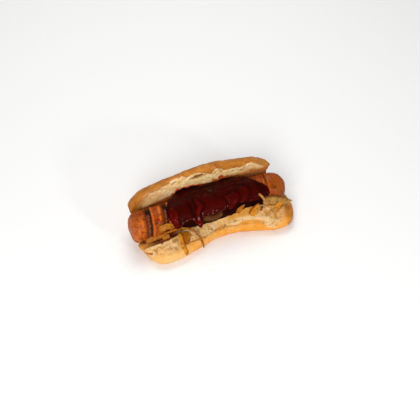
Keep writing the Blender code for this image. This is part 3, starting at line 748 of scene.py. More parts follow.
def crust_relief(at, look, masks):
    """Soft swells, creases, and a lip where the crust stands proud of the torn crumb."""
    x, points = at.x, at.points
    lift = 0.45 * cloud(points, 13, 1) + 0.20 * cloud(points, 5, 2) + 0.07 * cloud(points, 2, 4)
    lip = look.crust_lip / MM * bell(np.clip(at.border + 0.9, -9, 9), 1.3)
    lift += lip * (1 - 0.9 * at.lower * np.maximum(fade(-36, -44, x), fade(-24, -14, x) * fade(32, 24, x)))
    for crease in CRUST_CREASES:
        away = near_line(points, smooth_line(crease, 12))[0] + 0.3 * cloud(points, 2.5, 5)
        lift += 0.4 * bell(away - 1.6, 1.0) - 1.0 * bell(away, 1.1)
        # Painted shade along each crease
        masks.add("crease_shade", 0.45 * fade(1.6, 0.2, away))
    notch = near_line(points, smooth_line(NOTCH, 16))[0] + 0.25 * cloud(points, 2.5, 99)
    # Painted shade in the notch
    masks.add("crease_shade", fade(1.5, 0.5, notch))
    return lift - 1.8 * fade(1.3, 0.3, notch)


def crumb_relief(at, look, masks):
    """Torn flakes and pores all over, then the tears, folds, ridges and dents in their places."""
    x, y, out, points, border, lower = at.x, at.y, at.out, at.points, at.border, at.lower
    flakes = layers(points, 6.5, 4, 20, 0.55)
    tears = creases(points, 4.6, 3, 40) - 0.55
    holes = fade(0.46, 0.24, pores(points, 4.4, 60)) * fade(-0.1, 0.4, cloud(points, 9, 61))
    small_holes = fade(0.45, 0.22, pores(points, 1.9, 70)) * fade(-0.2, 0.3, cloud(points, 6, 71))
    torn = 1 + 0.7 * at.on_lid * fade(-56, -44, x) * fade(10, 3, border) + 1.3 * ~at.on_lid * fade(40, 50, x)
    lift = look.crumb_relief / MM * torn * (flakes + 0.9 * tears - 1.1 * holes - 0.35 * small_holes)
    lift -= 0.55 + 0.5 * bell(border, 1.6)
    # Painted shade: the crumb is coloured darker where it sinks and in its pores
    masks["hollow"] = 0.8 * fade(0.3, 1.3, -(lift + 0.55)) + 0.25 * holes

    on_sheet = (out > 30) & (at.deep < 3)
    for half, route in LID_SLITS:
        away, along, _ = near_line(at.lid_map, smooth_line(route, 16))
        wide = half * np.sin(np.pi * np.clip(along, 0.04, 0.96)) + 0.25 * cloud(points, 2.4, 90)
        # Painted shade inside each tear
        masks.add("slit", fade(wide + 0.6, wide - 0.5, away) * on_sheet * min(half / 1.6, 1))
    lift -= 3.0 * masks["slit"]
    for fold in LID_FOLDS:
        away, _, side = near_line(at.lid_map, smooth_line(fold, 12))
        lift += on_sheet * np.where(side > 0, 1.3 * bell(away, 1.2), -1.1 * bell(away, 0.9))
        # Painted shade on the lower side of each fold
        masks.add("hollow", 0.7 * on_sheet * bell(away, 0.9) * (side <= 0))

    ridge = near_line(at.floor_map, smooth_line(LOWER_RIDGE, 12))[0]
    lift += lower * 1.6 * bell(ridge, 1.4)
    # Painted highlight: the ridge's crest is coloured paler
    masks.add("pale", lower * bell(ridge, 1.6))
    for dent in LOWER_DENTS:
        away = near_line(at.floor_map, smooth_line(dent, 8))[0] + 0.4 * cloud(points, 3, 103)
        lift -= lower * 1.5 * bell(away, 1.9)
        # Painted shade in each dent
        masks.add("hollow", lower * bell(away, 2.1))
    past_trench = y - through(TRENCH_EDGE, x)
    trench = fade(-0.6, 1.2, past_trench) * fade(-36, -41, x) * fade(-77, -66, x)
    trench *= lower * (at.normals[:, 2] > 0.2)
    lift += lower * 0.9 * bell(past_trench + 1.4, 1.5) * fade(-34, -42, x) - 3.4 * trench
    # Painted shade in the trench
    masks.add("crease_shade", 0.9 * trench)
    frill = creases(points * (1.0, 0.6, 0.6), 4.4, 3, 98)
    frilled = lower * fade(-76, -71, x) * fade(-42, -47, x) * fade(-22.5, -25, y) * fade(-34, -31, y)
    lift += frilled * 1.1 * (frill - 0.55)
    # Painted shade in the frill's hollows
    masks.add("toast_and_shade", 0.75 * frilled * fade(0.52, 0.25, frill))
    edge_toast = fade(2.0, 0.2, np.abs(border)) * fade(-0.1, 0.35, cloud(points, 4, 96))
    lift -= 0.8 * edge_toast * at.on_lid
    masks.add("toast_and_shade", 0.65 * edge_toast * at.crumb * at.on_lid)
    for streak in SHADED_GROOVES:
        away = near_line(at.floor_map, smooth_line(streak, 8))[0] + 0.4 * cloud(points, 2, 102)
        lift -= 0.5 * lower * fade(1.5, 0.3, away)
        # Painted shade along each groove
        masks.add("toast_and_shade", 0.6 * lower * fade(1.7, 0.3, away))
    return lift


def bend_bread(at, moved):
    """Pushes the bed up against the sausage and gives the lid's end and the left end their shapes."""
    x, y, z, out = at.x, at.y, at.z, at.out
    band = fade(0.0, 4.4, y - through(RISE_START, x)) * fade(-11.5, -14, y)
    moved[:, 2] += through(BED_RISE, x) * band * at.lower * fade(0.0, 0.4, at.normals[:, 2])
    pull = 9.5 * fade(20, 37, out) - 3.5 * fade(39, 50, out) - 2.5 + 1.3 * cloud(at.points, 3.5, 100)
    moved[:, 0] += (fade(50, 75, x) * pull + 3.0 * bell(out - 38.5, 3.5) * fade(60, 74, x)) * fade(20, 26, z)
    moved[:, 2] -= (0.9 + 3.2 * fade(12, 62, x) + 1.8 * fade(54, 70, x)) * fade(28, 48, out)
    moved[:, 2] -= 3.2 * fade(57, 70, x) * fade(22, 38, out)
    end_lip = fade(-68, -77, x) * fade(8.4, 10.0, z) * fade(24, 16, z) * fade(-26, -18, y) * (y < 0)
    moved[:, 0] -= 4.2 * at.tip + 2.2 * end_lip
    moved[:, 2] = np.maximum(moved[:, 2], 0.0)

    # The bed stays clear of the sausage
    middle = np.stack([through(SAUSAGE_AXIS, moved[:, 0], column) for column in (1, 2)], axis=1)
    off = moved[:, 1:] - middle
    reach = np.linalg.norm(off, axis=1)
    need = sausage_radius(moved[:, 0]) + CLEARANCE
    pressed = (reach < need) & (np.abs(moved[:, 0]) < BED_END)
    grow = np.where(pressed, need / np.maximum(reach, 1), 1.0)
    moved[:, 1:] = middle + off * grow[:, None]


def stain_lid(at, masks):
    """Sauce stains, a painted shadow where the lid meets the sausage, smudges partly of painted shade, and
    oil colour on the lid's crumb.
    """
    x, out, points, lid_crumb = at.x, at.out, at.points, at.lid_crumb
    ragged = 0.9 * layers(points, 4.5, 3, 81)
    stain_line = through(STAIN_EDGE, x) + ragged
    under_sauce = lid_crumb * fade(-36, -31, x) * fade(54, 44, x)
    blotches = 3.4 + 1.4 * cloud(points, 2.6, 87)
    masks.add("stain", under_sauce * fade(stain_line + blotches, stain_line + 1.6, out))
    # Painted shade along the sauce's edge, over crumb soaked dark
    masks.add("soaked_and_shade", under_sauce * fade(stain_line + 0.9, stain_line - 0.4, out))
    for at_x, at_out, wide in STAIN_SPOTS:
        away = np.hypot(x - at_x, out - at_out) + 0.5 * cloud(points, 1.6, 83)
        masks.add("stain", lid_crumb * fade(wide, wide * 0.6, away))
    shade_line = through(LID_SHADE, x) + 0.5 * ragged
    # Painted shadow on the lid where it meets the sausage
    shadow = fade(-81, -76, x) * fade(shade_line + 3.4 + 1.5 * fade(20, 50, x), shade_line - 0.8, out) ** 1.4
    masks.add("shadow", shadow * (at.deep < 4) * (at.deep > -3) * (1 - 0.25 * fade(10, 50, x)))
    for at_x, at_out, wide in CRUMB_SMUDGES:
        away = np.hypot((x - at_x) / 1.4, out - at_out) + 0.5 * cloud(points, 1.6, 85)
        # Smudges, partly smeared crust and partly painted shade
        masks.add("shadow", 0.45 * lid_crumb * fade(wide * 1.2, wide * 0.2, away))
    masks["shadow"] *= at.z > 20
    # Painted shade at the lid's right where it meets the sausage, in the oil's colour
    masks.add("oil", 0.8 * fade(14, 40, x) * fade(38, 30, out - 0.6 * ragged) * lid_crumb)
    masks.add("oil", 0.45 * fade(-40, -52, x) * lid_crumb)


def stain_lower_half(at, masks):
    """Onion oil, toasted places, and painted shade on the wall of the bed."""
    x, y, points, rag, lower = at.x, at.y, at.points, at.rag, at.lower
    grubby = fade(0.0, 0.5, cloud(points, 5.5, 101)) * fade(38, 48, x) * fade(-38, -30, y)
    masks.add("toast_and_shade", lower * 0.35 * grubby)
    masks.add("toast_and_shade", lower * 0.6 * fade(-70, -75, x) * fade(-23, -17, y))
    patch = np.hypot((x - 57) / 9, (y + 34) / 3.6)
    masks.add("pale", lower * fade(1.2, 0.5, patch + 0.15 * rag))
    masks.add("oil", fade(0.1, 0.6, at.tip))
    masks.add("oil", lower * fade(-66, -74, x) * fade(-22, -17, y))
    away = np.hypot((x + 34) / 3.5, (y + 22) / 5.0) + 0.2 * rag
    masks.add("oil", lower * fade(1.3, 0.5, away))
    soaked_oil = fade(-52, -36, x) * (fade(38, 18, x) - 0.6 * bell(x + 7, 7) * fade(-17, -20, y))
    soaked_oil *= fade(-1.1, 0.1, cloud(points, 9, 86) + 0.2 * rag)
    masks.add("oil", lower * at.crumb * np.maximum(0.6 * soaked_oil, 0.30 + 0.15 * fade(40, 50, x)))
    spot = np.hypot((x - 59.8) / 2.4, (y + 34.5) / 1.6) + 0.3 * cloud(points, 1.6, 104)
    masks.add("oil", lower * fade(1.2, 0.5, spot))
    # Painted shade on the wall of the bed below the sauce
    wall = fade(0.3, 2.5, y - through(RISE_START, x) + 0.2 * rag) * fade(8, 18, x) * fade(54, 44, x)
    masks.add("oil", lower * wall)
    masks.add("hollow", lower * wall * (0.8 + 0.45 * fade(-0.3, 0.4, cloud(points, 4.5, 105))))


def baked(at):
    """How much the crust has baked: most at the ends and on the lid, least low down."""
    x, y, z = at.x, at.y, at.z
    low = fade(42, 22, z)
    bake = 0.10 + 0.56 * fade(13, 30, z) + 0.12 * cloud(at.points, 22, 84)
    bake += low * (0.16 * fade(-60, 0, x) + 0.10 * fade(5, 45, x)) - 0.04 * (z > 30) * fade(-58, -72, x)
    bake += 0.34 * fade(66, 84, x) + 0.22 * fade(-70, -82, x) + 0.12 * fade(10, 34, y) * low * fade(6, 18, z)
    bake += 0.16 * fade(-62, -74, x) * fade(40, 48, z) + 0.30 * fade(4.0, 0.0, z) * fade(-30, -10, y)
    return bake + 0.12 * bell(at.border, 1.5) * (z > 30)


def make_bread(look):
    mesh = evened_copy("bun", look.mesh_step, look.smoothing)
    at = bread_places(mesh)
    at.tip = bell(np.linalg.norm(at.points - LEFT_TIP, axis=1), 4.0)
    tear_open(at)
    masks = Masks()
    crust = crust_relief(at, look, masks)
    crumb = crumb_relief(at, look, masks)
    lift = (crust + (crumb - crust) * at.crumb) * fade(0.0, 2.5, at.z)
    moved = at.points + at.normals * lift[:, None]
    bend_bread(at, moved)
    move_points(mesh, moved)
    stain_lid(at, masks)
    stain_lower_half(at, masks)
    masks["hollow"] = np.clip(masks["hollow"], 0, 1) * at.crumb
    paint_on(mesh, crumb=at.crumb, bake=baked(at), **masks)
    return placed(mesh, "bun", bread_material(look))


# ---------------------------------------------------------------------------------------------
# Sausage

# Light spots and ribs, partly painted light: place along x, angle from the top towards the front, half
# length, half width in degrees
BRIGHT_AND_LIT_SPOTS = ((-56.4, 0, 1.5, 26), (-56.8, 32, 1.1, 14), (-80.0, 66, 2.2, 22),
                (-76.0, 34, 1.6, 16), (-84.0, 84, 2.0, 20), (60.6, 20, 1.0, 34))
DROP = (-60.2, 39)
VALLEY = -60.2
# How far the rounded ends reach in
END_LENGTH = 13.5
# Lines of (x, angle), laid out at this many millimetres for each degree round the skin
WRINKLES = (((70.0, -20), (70.9, 12), (72.4, 38), (72.5, 67), (71.0, 92)),
            ((73.4, -10), (75.6, 20), (76.9, 45), (76.4, 80)),
            ((79.6, -20), (80.4, 20), (80.0, 74)),
            ((-75.0, -30), (-74.2, 10), (-75.0, 60)))
WRINKLE_ARC = 0.286
# The rings stand closer together towards the ends
RING_CROWDING = math.pi / 2 * 0.9


def on_sausage(x, angle, radius):
    """Points at angle degrees from the sausage's top towards the front."""
    turn = np.radians(angle)
    return np.stack([x, through(SAUSAGE_AXIS, x) - radius * np.sin(turn),
                     through(SAUSAGE_AXIS, x, 2) + radius * np.cos(turn)], axis=-1)


def sausage_places(look):
    """The smooth skin as a grid of rings: where each point lies along and round the sausage."""
    share = np.sin(np.linspace(-1, 1, look.stations) * RING_CROWDING) / math.sin(RING_CROWDING)
    stations = (SAUSAGE_LEFT + SAUSAGE_RIGHT) / 2 + (SAUSAGE_RIGHT - SAUSAGE_LEFT) / 2 * share
    spokes = np.linspace(-180, 180, look.spokes, endpoint=False)
    x, angle = [part.ravel() for part in np.meshgrid(stations, spokes, indexing="ij")]
    inside = np.minimum(x - SAUSAGE_LEFT, SAUSAGE_RIGHT - x)
    taper = np.clip(1 - (1 - np.minimum(inside / END_LENGTH, 1)) ** 2.5, 0, 1) ** (1 / 2.5)
    radius = sausage_radius(x) * taper
    base = on_sausage(x, angle, radius)
    off_y = base[:, 1] - through(SAUSAGE_AXIS, x)
    off_z = base[:, 2] - through(SAUSAGE_AXIS, x, 2)
    return SimpleNamespace(x=x, angle=angle, inside=inside, taper=taper, radius=radius,
                           even=on_sausage(x, angle, SAUSAGE_RADIUS * taper),
                           slant=x - SCORE_LEAN[0] * off_y - SCORE_LEAN[1] * off_z)


def cut_scores(at, look, masks):
    """How deep the scores are: a sloping side on the left with painted shade, a floor, a burnt seam with
    painted shade, and a rib on the right with painted light.
    """
    deep = np.zeros(len(at.x))
    for number, (place, wide, strong) in enumerate(SCORES):
        off = at.slant - place + 0.4 * cloud(at.even, 7, 30 + number) + 0.2 * cloud(at.even, 2, 33 + number)
        open_here = fade(-50, -26, at.angle) * fade(124, 104, at.angle) * strong
        half = wide / 2
        wall = fade(half + 0.6, half - 0.1, off)
        floor = fade(-half - 0.5, -half + 0.3, off) * wall
        slope = fade(-half - 4.0, -half, off) * wall
        deep += look.score_depth / MM * (0.45 * slope + 0.55 * floor) * open_here
        deep -= 0.5 * bell(off - half - 1.5, 1.0) * open_here
        masks.add("cut", floor * open_here)
        # Painted shade on each score's sloping side
        masks.add("bank", slope * open_here)
        # The seam is burnt and also painted shade, darkest towards the top
        seam = bell(off - half + 0.1, 0.55) + fade(12, -6, at.angle) * floor
        masks.add("char", np.clip(seam, 0, 1) * open_here)
        # Painted light on the rib beside each score
        rib = bell(off - half - 1.9, 1.0) * fade(-0.7, 0.0, cloud(at.even, 9, 36 + number))
        masks.add("bright", rib * open_here)
    return deep


def wrinkle_skin(at, masks):
    """How deep the wrinkles are: a few long ones, and fine ones at both ends."""
    x, angle, even = at.x, at.angle, at.even
    flat = np.stack([x, angle * WRINKLE_ARC], axis=1)
    wrinkle = np.zeros(len(x))
    for line in WRINKLES:
        away = near_line(flat, smooth_line([(place, turn * WRINKLE_ARC) for place, turn in line], 14))[0]
        wrinkle += 0.4 * bell(away + 0.5 * cloud(even, 4, 44), 0.7) - 0.25 * bell(away - 1.3, 0.8)
    # Painted shade in the wrinkles' grooves
    masks.add("char", 0.35 * np.clip(wrinkle * 2, 0, 1) * fade(-0.6, 0.4, cloud(even, 7, 56)))
    wave = np.sin((x + 1.3 * cloud(even, 6, 45)) * 2 * np.pi / 2.3)
    wrinkle += 0.22 * wave * fade(-76, -82, x) * fade(-140, -60, angle) * fade(150, 110, angle)
    wave = np.sin((x + 1.6 * cloud(even, 7, 46)) * 2 * np.pi / 2.9)
    return wrinkle + 0.05 * wave * fade(74, 79, x)


def colour_skin(at, lumps, masks):
    """Bright ridges with painted light, painted light on lump crests and the left end's streaks, the rosy
    end, singed places, the drop of sauce and the even right end.
    """
    x, angle, even = at.x, at.angle, at.even
    for at_x, at_angle, long, wide in BRIGHT_AND_LIT_SPOTS:
        away = np.hypot((at.slant - at_x) / long, (angle - at_angle) / wide)
        masks.add("bright", fade(1.3, 0.3, away + 0.35 * cloud(even, 3, 51)))
    # Painted light on the lumps' crests
    masks.add("bright", 0.45 * fade(0.1, 0.6, cloud(even, 6, 52)) * fade(0.0, 0.5, lumps))
    singe = fade(0.30, 0.62, cloud(even, 8, 54) + 0.5 * cloud(even, 2.2, 55)) * fade(-84, -76, x)
    masks.add("char", 0.45 * singe * (1 - masks["bright"]))
    # Painted highlights: pale streaks on the left end
    streaks = fade(0.50, 0.85, creases(even * (0.45, 1, 1), 2.6, 2, 58))
    masks.add("bright", 0.9 * streaks * fade(-71, -78, x) * fade(-10, 25, angle))
    ends = np.maximum(fade(-79, -86, x), 0.5 * fade(80, 85, x))
    masks.add("rosy", ends * fade(-0.4, 0.3, cloud(even, 5, 53)))
    away = np.hypot((x - DROP[0]) / 1.9, (angle - DROP[1]) / 6.5) + 0.25 * cloud(even, 2, 57)
    masks.add("drop", fade(1.1, 0.6, away))
    masks.add("even", fade(66, 72, x))


def capped_rings(rows, columns):
    """Faces of a tube of rings whose first and last ring are one point each, and the points it keeps."""
    last = 1 + (rows - 2) * columns
    ring = last - columns
    sides = [(spoke, (spoke + 1) % columns) for spoke in range(columns)]
    faces = [tuple(face) for face in grid_faces(rows - 2, columns, True) + 1]
    faces += [(0, 1 + after, 1 + before) for before, after in sides]
    faces += [(last, ring + before, ring + after) for before, after in sides]
    return faces, np.concatenate([[0], np.arange(columns, (rows - 1) * columns), [rows * columns - 1]])


def make_sausage(look):
    at = sausage_places(look)
    x, angle, even = at.x, at.angle, at.even
    masks = Masks()
    lumps = 0.45 * cloud(even, 15, 5) + 0.22 * cloud(even, 5.5, 6) + 0.10 * cloud(even, 2.4, 7)
    lumps += 0.05 * cloud(even, 1.1, 8)
    lift = lumps * look.lumpiness - cut_scores(at, look, masks) - wrinkle_skin(at, masks)
    dips = fade(0.42, 0.15, pores(even, 7.0, 48)) * fade(0.0, 0.4, cloud(even, 12, 49))
    lift -= look.dimple / MM / 2 * dips
    lift -= 0.7 * bell(at.slant - VALLEY, 1.8) * fade(-50, -25, angle) * fade(110, 80, angle)
    lift += 0.3 * np.sin(np.radians(angle) * 9 + 2 * cloud(even, 9, 47)) * fade(4.5, 0.5, at.inside)
    lower_front = fade(40, 75, angle) * fade(178, 150, angle)
    lift += (2.4 * fade(-80, -86, x) - 1.1 * fade(-82, -78, x) * fade(-66, -72, x)) * lower_front
    lift -= 2.4 * fade(68, 84, x) * fade(140, 85, angle) * fade(-150, -90, angle)
    lift -= 0.35 * fade(75, 40, 180 - np.abs(angle))
    points = on_sausage(x, angle, np.maximum(at.radius + lift * np.minimum(1, at.taper * 1.4), 0.0))
    points[:, 0] += 0.35 * cloud(even, 5, 50) * fade(9, 2, at.inside) * np.sign(-x)
    points[:, 0] = np.clip(points[:, 0], SAUSAGE_LEFT - 0.3, SAUSAGE_RIGHT + 0.3)
    columns = look.spokes
    points[:columns] = points[:columns].mean(axis=0)
    points[-columns:] = points[-columns:].mean(axis=0)
    colour_skin(at, lumps, masks)
    faces, kept = capped_rings(look.stations, columns)
    mesh = mesh_of("sausage_skin", points[kept], faces)
    paint_on(mesh, **{name: values[kept] for name, values in masks.items()})
    return placed(mesh, "sausage", sausage_material(look))


# ---------------------------------------------------------------------------------------------
# Sauce

# The part of the skin that is laid out for the sauce: along x, and in degrees round the sausage
SAUCE_ALONG = (-53, 65)
SAUCE_ROUND = (-64, 132)
SAUCE_ROUND_LENGTH = 62
# How far the sauce's mesh stands off the skin, reaches into it, and how thin it may get
SAUCE_GAP, SAUCE_ROOT, THINNEST_SAUCE = 0.10, 0.6, 0.02


def rounded(inside, edge):
    """The height of a rounded edge: 0 at the rim and 1 from edge inwards."""
    return np.clip(1 - (1 - np.clip(inside / edge, 0, 1)) ** 2.2, 0, 1) ** (1 / 2.2)


def soft_highest(first, second, blend):
    """The higher of two heights, with the crease between them filled a little."""
    near = np.clip(1 - np.abs(first - second) / blend, 0, 1)
    return np.maximum(first, second) + near**2 * blend / 4 * (np.minimum(first, second) > 0)


def inside_ring(places, ring):
    """Distance in from a closed line, minus outside it."""
    away = near_line(places, ring)[0]
    odd = np.zeros(len(places), bool)
    for (ax, ay), (bx, by) in zip(ring[:-1], ring[1:]):
        crosses = (ay > places[:, 1]) != (by > places[:, 1])
        if ay != by:
            odd ^= crosses & (places[:, 0] < ax + (places[:, 1] - ay) * (bx - ax) / (by - ay))
    return np.where(odd, away, -away)


def inside_edges(places, back, front, count):
    """Distance in from the border between two long edges given by their angles, minus outside it."""
    x, round_it = places.T
    stations = np.linspace(back[0][0], back[-1][0], count)
    far, near = [np.stack([stations, through(edge, stations) * ARC], axis=1) for edge in (back, front)]
    away = near_line(places, np.concatenate([far, near[::-1], far[:1]]))[0]
    between = (round_it > through(back, x) * ARC) & (round_it < through(front, x) * ARC)
    return np.where(between & (x > back[0][0]) & (x < back[-1][0]), away, -away)


def arc_line(route, count):
    """The smooth line through (x, angle) places, in millimetres along and round the sausage."""
    return smooth_line([(place, turn * ARC) for place, turn in route], count)


def thick_sauce(flat, angle, look, masks):
    """Height of the thick sauce: a sheet with rounded edges and a pool behind, and lobes over it."""
    x, places = flat[:, 0], flat[:, :2]
    edge_in = inside_edges(places, SAUCE_BACK, SAUCE_FRONT, 120)
    edge_in += 0.5 * cloud(flat, 5, 1) + 0.2 * cloud(flat, 2, 2)
    pool = fade(-22, -46, angle) * fade(-36, -24, x) * fade(46, 20, x)
    thick = (2.5 + 1.3 * fade(35, -20, angle) + 2.4 * pool) * rounded(edge_in, look.lip_width / MM)
    # Thin edges are redder, and the lower rims are painted brighter as light
    red_rim = 0.25 * fade(4.5, 0.8, edge_in) * fade(0, 40, angle)
    reddest = 0.7 * fade(20, 8, x) + 0.3 * fade(-18, -24, x)
    masks.add("bright", red_rim + fade(2.6, 1.0, edge_in) * fade(40, 60, angle) * reddest)
    masks.add("shine", bell(edge_in - 2.1, 0.8) * fade(46, 58, angle))
    for tall, edge, redness, outline in LOBES:
        ring = arc_line((*outline, outline[0]), 6 * len(outline))
        deep_in = inside_ring(places, ring) + 0.25 * cloud(flat, 4, 12) + 0.12 * cloud(flat, 1.8, 13)
        lobe = tall * rounded(deep_in, edge) + 0.5 * fade(0, 8, deep_in) - 0.25
        lobe += 0.35 * bell(deep_in - 1.5, 0.7) * fade(46, 60, angle)
        meeting = (thick > 0.5) & (deep_in > -1)
        # Painted shade where lobes meet
        masks.add("gap", meeting * bell(deep_in, np.where(deep_in > 0, 0.5, 1.2)))
        thick = soft_highest(thick, np.where(deep_in > 0, lobe, 0), 0.45)
        # Each lobe's red is partly painted light, strongest low down
        masks.add("bright", redness * fade(-0.3, 1.0, deep_in) * fade(0, 55, angle))
        masks.add("shine", bell(deep_in - 2.1, 0.8) * (0.2 + 0.8 * fade(46, 60, angle)))
    thick += 0.55 * bell(edge_in - 1.5, 0.8) * fade(48, 60, angle) * (1 + 0.6 * cloud(flat, 2.6, 15))
    swells = 0.40 * cloud(flat, 12, 5) + 0.18 * cloud(flat, 5.5, 6) + 0.05 * cloud(flat, 2.6, 7)
    return thick + rounded(edge_in, 2.0) * swells


def make_sauce(look):
    step = look.mesh_step / MM
    rows = int((SAUCE_ALONG[1] - SAUCE_ALONG[0]) / step)
    columns = int(SAUCE_ROUND_LENGTH / step)
    along, around = np.linspace(*SAUCE_ALONG, rows), np.linspace(*SAUCE_ROUND, columns) * ARC
    x, round_it = [part.ravel() for part in np.meshgrid(along, around, indexing="ij")]
    angle = round_it / ARC
    flat = np.stack([x, round_it, np.zeros(len(x))], axis=1)
    masks = Masks()
    thick = thick_sauce(flat, angle, look, masks)
    crevice = near_line(flat[:, :2], arc_line(SAUCE_CREVICE, 12))[0]
    thick = np.maximum(thick - 3.0 * bell(crevice, 1.1) * (thick > 0), 0)
    # A near-black film below the thick sauce: painted shade under its lip
    shade_film_in = inside_edges(flat[:, :2], SAUCE_BACK, SHADE_FILM_FRONT, 80)
    shade_film_in += 1.2 * cloud(flat, 6, 3) + 0.5 * cloud(flat, 2.2, 4)
    film = look.shade_film_thickness / MM * np.clip(shade_film_in / 0.8, 0, 1) ** 0.5 * (1 + 0.5 * cloud(flat, 3, 9))
    height = np.maximum(thick, np.where(shade_film_in > 0, film, 0))
    faces = grid_faces(rows, columns)
    faces = faces[(height > THINNEST_SAUCE)[faces].all(axis=1)][:, ::-1]

    # The sauce sags a little in front, and keeps off the lid behind
    base = sausage_radius(x)
    outer = on_sausage(x, angle, base + SAUCE_GAP + height)
    outer[:, 2] -= 0.8 * fade(60, 100, angle) * np.clip(thick, 0, 2) / 2
    lid_face = HINGE[0] - (outer[:, 2] - HINGE[1]) / math.tan(LID_ANGLE)
    outer[:, 1] = np.minimum(outer[:, 1], lid_face + 0.5)
    used, points, faces = closed_sheet(outer, on_sausage(x, angle, base - SAUCE_ROOT), faces)
    mesh = mesh_of("sauce_layer", points, faces)

    masks["bright"] *= 0.8 + 0.5 * cloud(flat, 5, 10)
    masks["shine"] *= fade(0.0, 0.6, cloud(flat, 2.4, 14))
    masks["shine"] *= (1 - 0.7 * fade(14, 24, x)) * (1 - 0.15 * fade(-14, -6, x))
    masks["gap"] *= fade(-0.8, 0.3, cloud(flat, 6, 16))
    # Painted shade: thin places, the back edge by the lid and the crevice take the film's colour
    masks.add("film", fade(0.9, 0.4, thick) * fade(20, 60, angle))
    masks.add("film", np.maximum(fade(-45, -52, angle), bell(crevice, 1.6)))
    both_sides = np.concatenate([used, used])
    paint_on(mesh, **{name: values[both_sides] for name, values in masks.items()})
    piece = placed(mesh, "sauce", sauce_material(look))
    # Thin faces take the near-black film: painted shade
    mesh.materials.append(shade_film_material(look))
    thin = (masks["film"][both_sides][faces] > 0.5).all(axis=1)
    mesh.polygons.foreach_set("material_index", thin.astype(np.int32))
    return piece


# ---------------------------------------------------------------------------------------------
# Onions

def along_strip(route, facing, twist, steps):
    """A strip's middle line and, at each of its stations, the ways along, across and up."""
    middle = smooth_line(route, steps)
    forward = np.gradient(middle, axis=0)
    forward /= np.linalg.norm(forward, axis=1)[:, None]
    up = np.array(facing) - forward * (forward @ np.array(facing))[:, None]
    up /= np.linalg.norm(up, axis=1)[:, None]
    across = np.cross(forward, up)
    turn = (np.radians(twist) * (np.linspace(0, 1, steps) - 0.4) * 2)[:, None]
    return (middle, forward, across * np.cos(turn) + up * np.sin(turn),
            up * np.cos(turn) - across * np.sin(turn))


def onion_strip(route, width, thickness, curl, twist, point, facing, seed, steps=84, sides=36):
    """A limp strip of onion: fibres run along it, its edges waver and its ends are torn off blunt."""
    middle, forward, across, up = along_strip(route, facing, twist, steps)
    length = np.linalg.norm(np.diff(middle, axis=0), axis=1).sum()
    phase = np.linspace(0, 2 * np.pi, sides, endpoint=False)
    cos, sin = np.cos(phase), np.sin(phase)
    rows, columns = [part.ravel() for part in np.meshgrid(np.arange(steps), np.arange(sides), indexing="ij")]
    u = (np.sign(cos) * np.abs(cos) ** 0.75)[columns]
    v = (np.sign(sin) * np.abs(sin) ** 0.55)[columns]
    along = np.linspace(0, 1, steps)[rows]
    from_end = np.minimum(along, 1 - along) * length
    blunt = np.clip(1 - (1 - np.clip(from_end / (width * 0.42), 0, 1)) ** 2.6, 0, 1) ** 0.5
    place = np.stack([along * length, u * width / 2, v], axis=1) + seed * 17.0
    edge_place = place * (1, 0, 0) + (0, 1, 0) * np.sign(u)[:, None] * 5
    waver = 1 + 0.14 * cloud(edge_place, 4.2, seed)
    half = width / 2 * (0.12 + 0.88 * blunt) * waver * (1 - point * 0.94 * along**4.2)
    thin = thickness / 2 * (0.25 + 0.75 * blunt) * (1 - 0.35 * np.abs(u) ** 3)
    fibres = 0.09 * np.sin(u * width * 2.6 + 1.2 * cloud(place, 6, seed + 1))
    fibres += 0.10 * cloud(place * (0.35, 1, 1), 0.9, seed + 2) + 0.16 * cloud(place, 3.2, seed + 3)
    raised = v * (thin + fibres * blunt) - curl * width * (u**2 - 0.4)
    torn = 0.5 * cloud(place * (0, 1, 1), 1.6, seed + 4) * (from_end < 1.5)
    points = middle[rows] + across[rows] * (u * half)[:, None] + up[rows] * raised[:, None]
    points += forward[rows] * torn[:, None]
    faces = [tuple(face[::-1]) for face in grid_faces(steps, sides, True)]
    faces += [tuple(range(sides)), tuple(reversed(range((steps - 1) * sides, steps * sides)))]
    edge = np.clip(np.abs(u) ** 4 * 0.7 + fade(1.2, 0.2, from_end) * 0.5, 0, 1)
    edge = 0.6 * edge * fade(-0.6, 0.3, cloud(place, 2.5, seed + 5))
    return points, faces, {"edge": edge, "side": (u + 1) / 2}


def make_onions(look):
    # The golden onions: painted shade on one side and a painted highlight along the other
    golden = onion_material("fried onion", look, look.pale, look.golden, look.brown_edges_and_shade, look.rim)
    # The petal: painted shade on its far side
    olive = onion_material("glazed onion petal", look, look.petal_top, look.petal_mid, look.petal_shaded_side,
                           look.petal_top)
    # A darker copy of the onion: painted shade under the sauce's lip
    dark = onion_material("onion under sauce", look, look.soaked_and_shade, look.browned, look.browned, look.soaked_and_shade)
    # The pale strand: painted shade on one side
    pale = onion_material("pale onion", look, look.cream, look.cream, look.golden, look.cream)
    # The browned onions: painted shade on their lower side
    browned = onion_material("browned onion", look, look.deep_top, look.deep_side, look.deep_top, look.brown_edges_and_shade)
    finishes = {"onion_petal": olive, "onion_under_sauce": dark, "onion_strand_pale": pale}
    for node in ("chunk_left", "patch", "strip_inner", "wedge", "cube", "arch"):
        finishes["onion_" + node] = browned
    for number, (node, *shape, route) in enumerate(ONIONS):
        points, faces, masks = onion_strip(route, *shape, 3 * number + 1)
        mesh = mesh_of(node + "_strip", points, faces)
        paint_on(mesh, **masks)
        placed(mesh, node, finishes.get(node, golden))


# ---------------------------------------------------------------------------------------------
# Browned bits and crumbs

